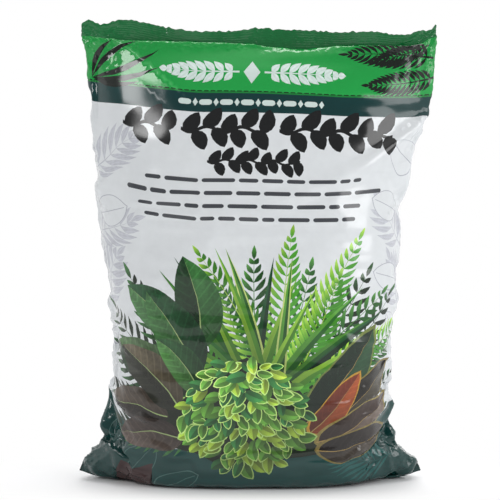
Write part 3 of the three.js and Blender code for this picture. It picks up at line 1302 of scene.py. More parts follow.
@dataclass(frozen=True)
class Bar:
    """A printed bar with round ends, at a place and with a size in millimetres."""

    left: float
    right: float
    down: float
    thickness: float
    colour: Colour
    end_steps: int = 4

    def shapes(self) -> list[Shape]:
        """Draw the bar.

        Returns:
            The bar, as the only shape.
        """
        radius = self.thickness / 2
        ends = []
        for middle, first in ((self.right - radius, 0.5), (self.left + radius, 1.5)):
            for step in range(self.end_steps + 1):
                turn = math.pi * (first - step / self.end_steps)
                ends.append((middle + radius * math.cos(turn), self.down - radius * math.sin(turn)))
        return [flat(ends, self.colour)]


@dataclass(frozen=True)
class OutlineLeaf:
    """A leaf in thin line: the blade's edge and its rib."""

    leaf: Leaf
    line: float
    colour: Colour
    ground: Colour
    rib_ends: Place = (0.03, 0.9)
    rib_samples: int = 5

    def shapes(self) -> list[Shape]:
        """Draw the edge as a blade with a smaller blade of the ground over it, then the rib.

        Returns:
            The printed shapes, in the order of printing.
        """
        share = 1 - 2 * self.line / self.leaf.width
        outer, inner = (self.colour, self.colour), (self.ground, self.ground)
        shapes = [self.leaf.half(side, 1.0, outer) for side in (1, -1)]
        shapes += [self.leaf.half(side, share, inner) for side in (1, -1)]
        along = np.linspace(*self.rib_ends, self.rib_samples)
        width = np.full_like(along, self.line / self.leaf.width)
        rib = np.concatenate([self.leaf.bent(along, width), self.leaf.bent(along[::-1], -width)])
        return shapes + [flat(rib, self.colour)]


@dataclass(frozen=True)
class Ferns:
    """Ferns that spread from one place."""

    root: Place
    pairs: int
    leaflet: Place
    tip: Colour
    stem: Colour
    rows: tuple[Triple, ...]
    scatter: Place = (6, 4)
    change: float = 0.16


TOP_EDGE = (
    (-131, 7.0), (-124, 11.0), (-116, 8.0), (-104, 12.5), (-93, 13.5), (-74, 13.5), (-50, 14.0),
    (-36, 14.4), (-18, 15.0), (-3, 17.2), (9, 16.2), (30, 15.6), (59, 14.2), (85, 14.6),
    (106, 9.8), (117, 8.8), (126, 4.5), (129, 9.0), (131, 7.0),
)
FOLDS = (
    Fold((-126, 4), (-52, 70), 12.0, 1.5),
    Fold((131, 50), (100, 66), 6.0, 1.3),
    Fold((129, 60), (116, 94), 5.0, 1.0),
    Fold((128, 266), (76, 283), 7.0, 0.9),
    Fold((126, 280), (82, 297), 6.0, 0.8),
    Fold((120, 294), (88, 306), 5.0, 0.6),
    Fold((-90, 247), (-129, 222), 5.0, 1.3),
    Fold((-98, 264), (-128, 244), 4.0, 0.9),
    Fold((-127, 258), (-102, 302), 5.0, 1.1),
    Fold((-72, 1), (-46, 10), 4.0, 0.9),
    Fold((-30, 3), (6, 12), 4.0, 1.0),
    Fold((34, 2), (64, 9), 3.5, 0.7),
    Fold((104, 150), (129, 128), 5.0, 0.8),
    Fold((-104, 132), (-129, 118), 5.0, 0.8),
)
CREASES = Ripples(wave=15.0, seed=4)
FINE_CREASES = Ripples(wave=6.5, seed=9)
SOFT_WAVES = Ripples(wave=46.0, seed=2)
RAGGED = Ripples(wave=5.0, seed=6)


@dataclass(frozen=True)
class Skew:
    """How far the print climbs towards the side edges of the film, in millimetres."""

    left_start: float = -38.0
    left_rise: float = 15.0
    right_start: float = 56.0
    right_rise: float = 6.5
    power: float = 1.5
    half_width: float = 131.0
    fades_from: float = 170.0
    fades_over: float = 60.0

    def rise(self, flat_x: np.ndarray) -> np.ndarray:
        """Find the climb at places across the flattened bag.

        Args:
            flat_x: The places, in millimetres.

        Returns:
            The climbs, in millimetres.
        """
        left = np.clip((self.left_start - flat_x) / (self.half_width + self.left_start), 0, 1)
        right = np.clip((flat_x - self.right_start) / (self.half_width - self.right_start), 0, 1)
        return self.left_rise * left**self.power + self.right_rise * right**self.power

    def move(self, places: np.ndarray) -> np.ndarray:
        """Places on the front moved up by the climb, which fades out down the film."""
        share = 1 - smooth((places[:, 1] - self.fades_from) / self.fades_over)
        return np.stack([places[:, 0], places[:, 1] - self.rise(places[:, 0]) * share], 1)


@dataclass(frozen=True)
class Bands:
    """The coloured bands round the whole film: places down the film, in millimetres."""

    tube: FilmTube = FilmTube()
    skew: Skew = Skew()
    tear_line: float = 48.0
    under_line: float = 1.6
    teal_depth: float = 16.0
    foot_middle: float = 318.0
    foot_edge: float = 300.0
    foot_power: float = 2.2
    # Painted shade where the foot turns under the bag, fading out towards the side edges: it starts this far
    # from the film's end and is darkest from the next depth on.
    underside_shade_depth: float = 58.0
    underside_dark_depth: float = 38.0
    off_middle: Ease = Ease(80, 22)
    top_shade: float = 0.95
    line_shade: float = 1.03
    dim_shade: float = 0.8
    teal_shade: float = 0.9
    # Painted shade: the foot darkens towards its end by this share.
    foot_painted_shade: float = 0.85
    # How dark the painted shade under the bag is.
    underside_painted_shade: float = 0.35
    thinnest: float = 0.001
    dash: float = 3.3
    dash_pitch: float = 4.75
    dash_thickness: float = 0.75
    dash_ink: Colour = (0.03, 0.12, 0.06)
    samples: int = 140

    def foot_line(self, across: np.ndarray) -> np.ndarray:
        """Upper border of the dark foot."""
        share = np.abs(self.tube.folded(across)) / (self.tube.width / 2)
        return self.foot_middle - (self.foot_middle - self.foot_edge) * share**self.foot_power

    @staticmethod
    def band(upper: np.ndarray, lower: np.ndarray, across: np.ndarray, ends: tuple[Colour, Colour]) -> Shape:
        """Draw a band between two lines.

        Args:
            upper: Levels of the upper line.
            lower: Levels of the lower line.
            across: Places across the film of both.
            ends: Colours at the top and at the bottom.

        Returns:
            The printed shape.
        """
        top = np.stack([across, upper], 1)
        bottom = np.stack([across, lower], 1)[::-1]
        start = float(upper.min())
        return Shape(
            np.concatenate([top, bottom]), *ends, (0.0, start), -math.pi / 2, float(lower.max()) - start
        )

    def shapes(self) -> list[Shape]:
        """Draw all the bands, with the dashes of the tear line and the painted shade on the foot.

        Returns:
            The printed shapes, in the order of printing.
        """
        width = self.tube.width
        across = np.linspace(-width, width, self.samples + 1)
        line = self.tear_line - self.skew.rise(self.tube.folded(across))
        under = line + self.under_line
        top = np.full_like(across, -self.tube.top_fin)
        seal = np.full_like(across, 1.0)
        end = np.full_like(across, self.tube.length + self.tube.foot_fin)
        green, deep = Ink.LEAF_GREEN.value, Ink.DEEP_GREEN.value
        teal, foot = Ink.TEAL.value, Ink.FOOT_TEAL.value
        dim, painted_shade_foot = shade(green, self.dim_shade), shade(foot, self.underside_painted_shade)
        middle = self.thinnest + 1 - self.off_middle.at(np.abs(self.tube.folded(across)))
        # Painted shade: the middle of the foot darkens where the film turns under the bag.
        turn, seam = end - self.underside_shade_depth * middle, end - self.underside_dark_depth * middle
        shapes = [
            self.band(top, seal, across, (deep, deep)),
            self.band(seal, line, across, (shade(green, self.top_shade), shade(green, self.line_shade))),
            self.band(line, under, across, (dim, dim)),
            self.band(under, line + self.teal_depth, across, (teal, shade(teal, self.teal_shade))),
            # The foot darkens towards its end: painted shade.
            self.band(self.foot_line(across), end, across, (foot, shade(foot, self.foot_painted_shade))),
            self.band(turn, seam, across, (foot, painted_shade_foot)),
            self.band(seam, end, across, (painted_shade_foot, painted_shade_foot)),
        ]
        half = self.dash_thickness / 2
        for start in np.arange(-width + 1, width - self.dash - 1, self.dash_pitch):
            ends = np.array((start, start + self.dash))
            level = self.tear_line - self.skew.rise(self.tube.folded(ends))
            corners = [*zip(ends, level - half), *zip(ends[::-1], (level + half)[::-1])]
            shapes.append(flat(corners, self.dash_ink))
        return shapes


@dataclass
class Printer:
    """Draws the print of one face, with small seeded differences from piece to piece."""

    black: Colour = (0.1, 0.105, 0.11)
    text_grey: Colour = (0.27, 0.28, 0.3)
    pale: Colour = (0.82, 0.88, 0.86)
    garland_pitch: float = 0.27
    garland_leaf: float = 0.44
    stem_half: float = 0.055
    stem_wave: float = 0.09
    garland_leans: Place = (0.85, 1.1)
    garland_sizes: Place = (0.9, 1.0)
    garland_bow: float = 0.07
    least_room: float = 0.05
    bar_lengths: Place = (8.0, 25.0)
    bar_gap: float = 0.8
    least_bar: float = 6.0
    golden: float = 0.618
    seed: int = 11

    def __post_init__(self) -> None:
        """Start the draw of small differences."""
        self.draw = np.random.default_rng(self.seed)

    def some(self, low: float, high: float) -> float:
        """Draw a number between two others."""
        return float(self.draw.uniform(low, high))

    def near(self, place: Place, scatter: Place) -> Place:
        """Draw a place near another."""
        return tuple(middle + self.some(-reach, reach) for middle, reach in zip(place, scatter))

    def vary(self, colour: Colour, share: float = 0.12) -> Colour:
        """A colour a little lighter or darker."""
        return shade(colour, 1 + self.some(-share, share))

    @staticmethod
    def lozenge(across: float, down: float, half_width: float, half_height: float, colour: Colour) -> Shape:
        """Draw a lozenge.

        Args:
            across: Its middle across the film, in millimetres.
            down: Its middle down the film.
            half_width: Half its width.
            half_height: Half its height.
            colour: Its colour.

        Returns:
            The printed shape.
        """
        sides = (across - half_width, down), (across + half_width, down)
        ends = (across, down - half_height), (across, down + half_height)
        return flat([sides[0], ends[0], sides[1], ends[1]], colour)

    def garland(self, left: float, right: float, foot: float, height: float) -> list[Shape]:
        """Draw a bold black garland: a wavy stem with large leaves above and below it in turn.

        Args:
            left: Where it starts across the film.
            right: Where it ends.
            foot: Its lowest level down the film.
            height: Its height.

        Returns:
            The printed shapes, in the order of printing.
        """
        count = max(3, round((right - left) / (height * self.garland_pitch)))
        swing, half = self.stem_wave * height, self.stem_half * height
        at = np.linspace(left, right, 3 * count + 1)
        wave = foot - height / 2 + swing * np.sin((at - left) * 2 * math.pi / height)
        strip = [np.stack([at, wave - half], 1), np.stack([at, wave + half], 1)[::-1]]
        shapes = [flat(np.concatenate(strip), self.black)]
        for index in range(count):
            side = (-1) ** index
            start = 3 * index + 1
            lean = self.some(*self.garland_leans)
            size = (height / 2 + swing) / math.sin(lean) * self.some(*self.garland_sizes)
            room = (right - at[start]) / size
            turn = side * max(lean, math.acos(min(1.0, max(self.least_room, room))))
            width, bow = height * self.garland_leaf, self.garland_bow * side
            root = (at[start], wave[start])
            leaf = Leaf(root, turn, size, width, light=self.black, dark=self.black, bow=bow)
            shapes.append(leaf.plain())
        return shapes

    def rows(self, rows: tuple[Triple, ...], thickness: float) -> list[Shape]:
        """Draw rows of thin dark bars with small gaps.

        Args:
            rows: For each row its left end, its right end and its level.
            thickness: Thickness of the bars.

        Returns:
            The printed shapes, in the order of printing.
        """
        shapes = []
        for left, right, level in rows:
            at = float(left)
            while at < right - self.least_bar:
                end = min(right, at + self.some(*self.bar_lengths))
                shapes += Bar(at, end, level, thickness, self.text_grey).shapes()
                at = end + self.bar_gap * thickness
        return shapes


@dataclass
class FrontPrint(Printer):
    """The picture and the ornaments on the front."""

    name_middle: Place = (-4.0, 33.0)
    band_ends: Place = (-56.0, 40.0)
    band_pitch: float = 15.0
    band_level: float = 56.5
    garlands: tuple[tuple[float, float, float, float], ...] = (
        (-97, -60, 89.5, 25), (-53, 10, 89.5, 25), (17, 101, 89.5, 25), (-33, 33, 109, 17),
    )
    text: tuple[Triple, ...] = ((-78, 81, 114.5), (-91, 99, 124), (-82, 86, 133.5), (-77, 82, 143))
    text_thickness: float = 3.0
    sprig_ink: Colour = (0.07, 0.1, 0.08)
    sprigs: tuple[tuple[Stalk, float], ...] = (
        (Stalk((128, 22), 2.92, 62, -0.12, 1.3), 17),
        (Stalk((131, 36), 3.3, 50, 0.08, 1.3), 14),
        (Stalk((124, 12), 3.45, 40, 0.05, 1.3), 12),
    )
    fan_root: Place = (-125, 46)
    fan: tuple[Triple, ...] = (
        (0.02, 40, 0.1), (0.24, 56, 0.09), (0.48, 60, 0.08), (0.74, 50, -0.06), (1.05, 36, -0.1),
    )
    line_grey: Colour = (0.68, 0.69, 0.73)
    frond_grey: Colour = (0.76, 0.77, 0.8)
    side_fronds: tuple[tuple[Stalk, int], ...] = (
        (Stalk((-130, 120), 0.75, 52, 0.1, 1.0), 7),
        (Stalk((-130, 168), 0.5, 46, 0.1, 1.0), 6),
        (Stalk((-130, 214), 1.0, 46, 0.1, 1.0), 6),
        (Stalk((130, 168), 2.4, 46, 0.1, 1.0), 6),
        (Stalk((130, 212), 2.2, 40, 0.1, 1.0), 6),
    )
    side_leaves: tuple[Leaf, ...] = (
        Leaf((-122, 150), 0.35, 34, 22),
        Leaf((126, 104), 2.5, 36, 26, LeafKind.HEART),
        Leaf((122, 142), 2.75, 34, 22),
        Leaf((124, 236), 2.2, 30, 18, LeafKind.LANCE),
        Leaf((-120, 246), 0.9, 30, 18, LeafKind.HEART),
        Leaf((120, 190), 2.9, 30, 19),
    )
    foot_leaves: tuple[Leaf, ...] = (
        Leaf((-92, 352), 0.9, 44, 22),
        Leaf((-118, 340), 1.2, 30, 15),
        Leaf((-66, 352), 0.5, 36, 16),
    )
    line_width: float = 0.5
    foot_line: Colour = (0.3, 0.44, 0.42)
    panel: tuple[Place, ...] = ((-99, 350), (-67, 333), (-70, 372), (-99, 377))
    panel_ink: Colour = (0.25, 0.17, 0.17)
    ferns: tuple[Ferns, ...] = (
        Ferns(
            (-10, 290), 12, (25, 3.8), (0.22, 0.4, 0.22), (0.08, 0.16, 0.09),
            ((2.9, 112, 0.12), (2.62, 122, 0.1), (3.2, 104, 0.16), (2.3, 124, 0.06), (3.5, 96, 0.1)),
        ),
        Ferns(
            (10, 290), 12, (25, 3.8), (0.22, 0.4, 0.22), (0.08, 0.16, 0.09),
            ((0.62, 128, -0.1), (0.34, 124, -0.12), (0.06, 112, -0.12), (0.9, 124, -0.06),
             (-0.26, 100, -0.14)),
        ),
        Ferns(
            (16, 286), 15, (21, 3.6), (0.32, 0.58, 0.24), (0.13, 0.34, 0.13),
            ((2.5, 92, -0.2), (1.0, 122, 0.2), (0.62, 104, 0.2), (1.75, 112, 0.1), (1.2, 112, -0.1),
             (2.1, 104, 0.1)),
        ),
        Ferns(
            (22, 286), 19, (21, 3.3), (0.66, 0.83, 0.3), (0.26, 0.55, 0.16),
            ((2.3, 104, -0.2), (0.8, 118, 0.22), (1.9, 128, -0.16), (1.3, 140, 0.14), (1.62, 132, 0.1),
             (1.05, 104, -0.1)),
        ),
    )
    strap_count: int = 24
    strap_root: Place = (14, 288)
    strap_scatter: Place = (14, 6)
    strap_turn: float = 0.3
    strap_fan: float = 2.5
    strap_length: float = 78.0
    strap_upright: float = 58.0
    strap_lengths: Place = (0.8, 1.04)
    strap_bow: float = 0.42
    strap_bows: Place = (0.7, 1.3)
    strap_stray: float = 0.08
    strap_width: float = 8.4
    strap_widths: Place = (0.8, 1.2)
    plain_straps: int = 8
    edged_strap: int = 4
    strap_tones: tuple[tuple[Colour, Colour], ...] = (
        ((0.14, 0.36, 0.2), (0.08, 0.22, 0.13)),
        ((0.34, 0.6, 0.22), (0.17, 0.42, 0.16)),
        ((0.56, 0.76, 0.25), (0.34, 0.6, 0.18)),
        ((0.34, 0.6, 0.22), (0.17, 0.42, 0.16)),
        ((0.56, 0.76, 0.25), (0.34, 0.6, 0.18)),
    )
    strap_edge: Colour = (0.8, 0.88, 0.5)
    broad_leaves: tuple[Leaf, ...] = (
        Leaf((-36, 240), 1.75, 70, 34, light=(0.2, 0.4, 0.2), dark=(0.1, 0.22, 0.12)),
        Leaf((-46, 236), 2.45, 62, 30, light=(0.13, 0.29, 0.17), dark=(0.28, 0.46, 0.27)),
        Leaf((-52, 268), 2.75, 66, 32, light=(0.3, 0.42, 0.26), dark=(0.14, 0.22, 0.14)),
        Leaf((-38, 262), 2.12, 74, 35, light=(0.11, 0.26, 0.15), dark=(0.24, 0.42, 0.23)),
        Leaf((-56, 292), 3.15, 60, 30, light=(0.32, 0.28, 0.24), dark=(0.18, 0.16, 0.14)),
        Leaf((-48, 284), 2.5, 68, 30, light=(0.36, 0.33, 0.26), dark=(0.17, 0.18, 0.14)),
        Leaf((-46, 306), 3.4, 56, 27, light=(0.25, 0.21, 0.19), dark=(0.36, 0.31, 0.28)),
        Leaf((-34, 272), 2.3, 52, 24, light=(0.14, 0.3, 0.16), dark=(0.3, 0.5, 0.26)),
    )
    broad_rib: Colour = (0.6, 0.68, 0.45)
    brown_leaves: tuple[Leaf, ...] = (
        Leaf(
            (36, 300), 0.94, 100, 34,
            light=(0.17, 0.3, 0.2), dark=(0.1, 0.17, 0.12), rim=(0.4, 0.45, 0.22),
        ),
        Leaf(
            (42, 304), 0.6, 92, 32,
            light=(0.26, 0.24, 0.19), dark=(0.15, 0.14, 0.12), rim=(0.45, 0.4, 0.2),
        ),
        Leaf(
            (42, 304), 0.86, 62, 21,
            light=(0.62, 0.3, 0.16), dark=(0.44, 0.19, 0.12), rim=(0.66, 0.5, 0.18),
        ),
        Leaf(
            (46, 310), 0.3, 80, 29,
            light=(0.42, 0.36, 0.32), dark=(0.27, 0.22, 0.2), rim=(0.5, 0.45, 0.25),
        ),
        Leaf(
            (46, 316), 0.0, 68, 26,
            light=(0.3, 0.27, 0.24), dark=(0.19, 0.17, 0.16), rim=(0.45, 0.4, 0.22),
        ),
    )
    brown_rib: Colour = (0.6, 0.5, 0.3)
    bush_middle: Place = (-2.0, 289.0)
    bush_reach: Place = (49.0, 47.0)
    bush_count: int = 155
    bush_leaves: Place = (9.5, 16.0)
    bush_leaf_share: float = 0.92
    bush_ground_share: float = 0.88
    bush_scatter: float = 0.06
    bush_stray: float = 0.85
    bush_ground: Colour = (0.07, 0.13, 0.07)
    bush_greens: tuple[tuple[float, Colour], ...] = (
        (0.25, (0.66, 0.8, 0.27)), (0.7, (0.4, 0.64, 0.24)), (1.0, (0.22, 0.5, 0.25)),
    )
    bush_rim: Colour = (0.67, 0.8, 0.45)
    ground: tuple[Place, ...] = (
        (-66, 262), (-44, 244), (-4, 238), (28, 240), (62, 256), (72, 284), (60, 318), (-44, 318), (-62, 292),
        (-66, 262),
    )
    ground_ink: Colour = (0.08, 0.13, 0.07)

    def name_ornament(self) -> list[Shape]:
        """Draw a pale sprig to both sides of a small lozenge, on the green band.

        Returns:
            The printed shapes, in the order of printing.
        """
        middle, level = self.name_middle
        shapes = [self.lozenge(middle, level, 6, 9, self.pale)]
        for side in Side:
            turn = 0.0 if side is Side.RIGHT else math.pi
            stalk = Stalk((middle + side.value * 9, level), turn, length=52, width=1.3, colour=self.pale)
            sprig = Frond(
                stalk, pairs=8, leaflet=12.5, leaflet_width=5.2, light=self.pale, dark=self.pale,
                spread=0.95, first=0.04, kind=LeafKind.LANCE, bow=0.05,
            )
            shapes += sprig.shapes()
        return shapes

    def band_ornament(self) -> list[Shape]:
        """Draw a row of pale bars and small lozenges on the dark band.

        Returns:
            The printed shapes, in the order of printing.
        """
        shapes, level = [], self.band_level
        for left in np.arange(*self.band_ends, self.band_pitch):
            shapes += Bar(left, left + 9.5, level, thickness=4.2, colour=self.pale).shapes()
            shapes.append(self.lozenge(left + 12.3, level, 1.9, 3, self.pale))
        return shapes

    def headings(self) -> list[Shape]:
        """The garlands in two rows."""
        return [shape for place in self.garlands for shape in self.garland(*place)]

    def text_rows(self) -> list[Shape]:
        """Four rows of bars below the garlands."""
        return self.rows(self.text, self.text_thickness)

    def corner_sprigs(self) -> list[Shape]:
        """Draw black sprigs in the top corners of the green band.

        Returns:
            The printed shapes, in the order of printing.
        """
        ink = self.sprig_ink
        shapes = []
        for stalk, leaflet in self.sprigs:
            sprig = Frond(
                replace(stalk, colour=ink), pairs=13, leaflet=leaflet, leaflet_width=2.7, light=ink,
                dark=ink, spread=0.9, first=0.05, bow=0.1,
            )
            shapes += sprig.shapes()
        for turn, length, bow in self.fan:
            leaf = Leaf(self.fan_root, turn, length, 4.4, LeafKind.LANCE, ink, ink, bow)
            shapes.append(leaf.plain(veins=0.35))
        return shapes

    def side_art(self) -> list[Shape]:
        """Draw faint grey fronds and leaves in thin line at both sides of the pale field.

        Returns:
            The printed shapes, in the order of printing.
        """
        shapes = []
        grey, film = self.frond_grey, Ink.FILM.value
        for stalk, pairs in self.side_fronds:
            frond = Frond(
                replace(stalk, colour=grey), pairs, leaflet=25, leaflet_width=4.6, light=grey, dark=grey,
                spread=0.9, first=0.1, kind=LeafKind.LANCE, bow=0.1,
            )
            shapes += frond.shapes()
        for leaf in self.side_leaves:
            shapes += OutlineLeaf(leaf, self.line_width, self.line_grey, film).shapes()
        return shapes

    def fern_art(self, ferns: Ferns) -> list[Shape]:
        """Draw ferns that spread from one place.

        Args:
            ferns: The ferns.

        Returns:
            The printed shapes, in the order of printing.
        """
        shapes = []
        for turn, length, bow in ferns.rows:
            place = self.near(ferns.root, ferns.scatter)
            stalk = Stalk(place, turn, length, bow, width=1.5, colour=shade(ferns.tip, 0.9))
            light, dark = self.vary(ferns.tip, ferns.change), self.vary(ferns.stem, ferns.change)
            shapes += Frond(stalk, ferns.pairs, *ferns.leaflet, light, dark).shapes()
        return shapes

    def dark_fronds(self) -> list[Shape]:
        """Dark narrow ferns that stick out behind the other plants."""
        return [shape for ferns in self.ferns[:2] for shape in self.fern_art(ferns)]

    def bright_fronds(self) -> list[Shape]:
        """Feathery ferns, most of them to the right of the middle, the deeper ones behind."""
        return [shape for ferns in self.ferns[2:] for shape in self.fern_art(ferns)]

    def straps(self) -> list[Shape]:
        """Draw long arching blades round the ferns.

        Returns:
            The printed shapes, in the order of printing.
        """
        shapes = []
        for index in range(self.strap_count):
            turn = self.strap_turn + self.strap_fan * ((index * self.golden) % 1)
            longest = self.strap_length + self.strap_upright * math.sin(turn) ** 2
            length = longest * self.some(*self.strap_lengths)
            bow = self.strap_bow * math.cos(turn) * self.some(*self.strap_bows)
            bow += self.some(-self.strap_stray, self.strap_stray)
            root = self.near(self.strap_root, self.strap_scatter)
            light, dark = self.strap_tones[index * len(self.strap_tones) // self.strap_count]
            edged = index > self.plain_straps and index % self.edged_strap == 1
            edge = self.strap_edge if edged else None
            width = self.strap_width * self.some(*self.strap_widths)
            strap = Strap(Stalk(root, turn, length, bow), width, self.vary(light), self.vary(dark), edge)
            shapes += strap.shapes()
        return shapes

    def broad_art(self) -> list[Shape]:
        """Draw large glossy leaves with pale ribs to the left.

        Returns:
            The printed shapes, in the order of printing.
        """
        shapes = []
        for leaf in self.broad_leaves:
            shapes += replace(leaf, bow=0.07, veins=1.0, rib=self.broad_rib).shapes()
        return shapes

    def brown_art(self) -> list[Shape]:
        """Draw long leaves in brown, red and deep green with thin pale rims, to the lower right.

        Returns:
            The printed shapes, in the order of printing.
        """
        shapes = []
        for leaf in self.brown_leaves:
            shapes += replace(leaf, bow=0.05, veins=0.45, rib=self.brown_rib, inset=0.92).shapes()
        return shapes

    def bush_outline(self) -> np.ndarray:
        """Draw the wavy outline of the bush.

        Returns:
            Places on the film.
        """
        turns = np.linspace(0, 2 * math.pi, 28, endpoint=False)
        ring = np.stack([np.cos(turns), -np.sin(turns)], 1) * self.bush_reach * self.bush_ground_share
        ring *= (1 + 0.05 * np.sin(turns * 5) + 0.04 * np.sin(turns * 9))[:, None]
        return self.bush_middle + ring

    def bush(self) -> list[Shape]:
        """Draw a mound of small drooping leaves at the bottom, the upper ones over the lower ones.

        Returns:
            The printed shapes, in the order of printing.
        """
        middle, reach, count = np.array(self.bush_middle), np.array(self.bush_reach), self.bush_count
        shapes = [flat(self.bush_outline(), self.bush_ground)]
        steps = np.arange(count)
        spiral = steps * math.pi * (3 - math.sqrt(5))
        offsets = np.stack([np.cos(spiral), np.sin(spiral)], 1) * np.sqrt((steps + 0.5) / count)[:, None]
        offsets += self.draw.uniform(-self.bush_scatter, self.bush_scatter, offsets.shape)
        for index, (aside, below) in enumerate(offsets[np.argsort(-offsets[:, 1])]):
            heading = math.atan2(-0.45 * below - 0.5, 0.8 * aside)
            heading += self.some(-self.bush_stray, self.bush_stray)
            size = self.some(*self.bush_leaves)
            lit = 1.0 - 0.22 * below - 0.1 * aside
            pick = self.some(0, 1)
            green = next(colour for share, colour in self.bush_greens if pick < share)
            green = self.vary(shade(green, lit))
            rim = shade(self.bush_rim, lit) if index % 5 < 3 else None
            ahead = np.array((math.cos(heading), -math.sin(heading)))
            place = tuple(middle + reach * (aside, below) * self.bush_leaf_share - ahead * size / 2)
            leaf = Leaf(
                place, heading, size, width=size * 0.56, light=green, dark=shade(green, 0.74), bow=0.06,
                veins=0.3, rim=rim, inset=0.84, steps=1,
            )
            shapes += leaf.shapes()
        return shapes

    def undergrowth(self) -> list[Shape]:
        """Dark ground behind the plants."""
        return [flat(rounded(np.array(self.ground, float), 4)[:-1], self.ground_ink)]

    def foot_art(self) -> list[Shape]:
        """Draw faint leaves on the dark foot, and a brown panel.

        Returns:
            The printed shapes, in the order of printing.
        """
        shapes = []
        ground = Ink.FOOT_TEAL.value
        for leaf in self.foot_leaves:
            shapes += OutlineLeaf(leaf, self.line_width, self.foot_line, ground).shapes()
        stalk = Stalk((112, 350), 2.75, 60, 0.12, width=0.8, colour=shade(ground, 1.2))
        soft = shade(ground, 1.3)
        frond = Frond(
            stalk, pairs=12, leaflet=26, leaflet_width=2.4, light=soft, dark=soft, spread=0.8,
            first=0.05, bow=0.0,
        )
        return shapes + frond.shapes() + [flat(list(self.panel), self.panel_ink)]

    def shapes(self) -> list[Shape]:
        """Draw everything on the front.

        Returns:
            The printed shapes, in the order of printing.
        """
        parts = (
            self.side_art, self.foot_art, self.corner_sprigs, self.name_ornament, self.band_ornament,
            self.headings, self.text_rows, self.dark_fronds, self.undergrowth, self.bright_fronds,
            self.straps, self.broad_art, self.brown_art, self.bush,
        )
        skew = Skew()
        return [replace(shape, outline=skew.move(shape.outline)) for part in parts for shape in part()]


@dataclass
class BackPrint(Printer):
    """The guessed print on the back: two columns of ornament, bars and pale leaves."""

    seed: int = 23
    columns: tuple[Place, ...] = ((-100.0, -8.0), (8.0, 100.0))
    garland_foot: float = 86.0
    garland_height: float = 14.0
    first_row: float = 104.0
    row_pitch: float = 7.4
    row_count: int = 17
    paragraph: int = 5
    paragraph_gap: float = 4.0
    row_thickness: float = 2.4
    last_row_gap: float = 26.0
    strap_count: int = 9
    strap_foot: float = 324.0
    strap_turn: float = 0.25
    strap_fan: float = 1.25
    strap_lengths: Place = (56.0, 88.0)
    strap_bow: float = 0.3
    leaf_foot: float = 326.0
    strap_width: float = 6.5
    leaf_spreads: tuple[float, ...] = (0.2, 0.75, 1.3)
    root_share: float = 0.94
    pale_tones: tuple[Colour, Colour] = ((0.62, 0.78, 0.46), (0.42, 0.62, 0.34))
    deep_tones: tuple[Colour, Colour] = ((0.42, 0.62, 0.38), (0.26, 0.46, 0.27))

    def column(self, left: float, right: float) -> list[Shape]:
        """Draw one column.

        Args:
            left: Its left side across the back, as seen from behind.
            right: Its right side.

        Returns:
            The printed shapes, in the order of printing.
        """
        shapes = self.garland(left, right, self.garland_foot, self.garland_height)
        ends = [
            right - self.some(0, self.last_row_gap) if (i + 1) % self.paragraph == 0 else right
            for i in range(self.row_count)
        ]
        levels = [
            self.first_row + i * self.row_pitch + self.paragraph_gap * (i // self.paragraph)
            for i in range(self.row_count)
        ]
        shapes += self.rows(tuple((left, end, level) for end, level in zip(ends, levels)), self.row_thickness)
        return shapes + self.plants(left if left < 0 else right)

    def plants(self, outer: float) -> list[Shape]:
        """Draw the plants in one bottom corner.

        Args:
            outer: The column's outer side, as seen from behind.

        Returns:
            The printed shapes, in the order of printing.
        """
        shapes = []
        towards = 0.0 if outer < 0 else math.pi
        lean = 1 if outer < 0 else -1
        root = outer * self.root_share
        for index in range(self.strap_count):
            turn = towards + lean * (self.strap_turn + self.strap_fan * ((index * self.golden) % 1))
            light, dark = (self.pale_tones, self.deep_tones)[index % 2]
            bow = self.strap_bow * lean * math.cos(turn)
            stalk = Stalk((root, self.strap_foot), turn, self.some(*self.strap_lengths), bow)
            shapes += Strap(stalk, self.strap_width, self.vary(light), self.vary(dark)).shapes()
        for spread in self.leaf_spreads:
            light, dark = (self.vary(tone) for tone in self.deep_tones)
            leaf = Leaf(
                (root, self.leaf_foot), towards + lean * spread, length=40, width=17, light=light,
                dark=dark, bow=-0.05 * lean, veins=0.6, rib=self.pale_tones[0],
            )
            shapes += leaf.shapes()
        return shapes

    def shapes(self) -> list[Shape]:
        """Draw everything on the back, moved to its places across the film.

        Returns:
            The printed shapes, in the order of printing.
        """
        shapes = []
        for left, right in self.columns:
            shift = np.array((2 * Skew().half_width * (1 if left < 0 else -1), 0.0))
            for shape in self.column(left, right):
                origin = tuple(np.array(shape.origin) + shift)
                shapes.append(replace(shape, outline=shape.outline + shift, origin=origin))
        return shapes


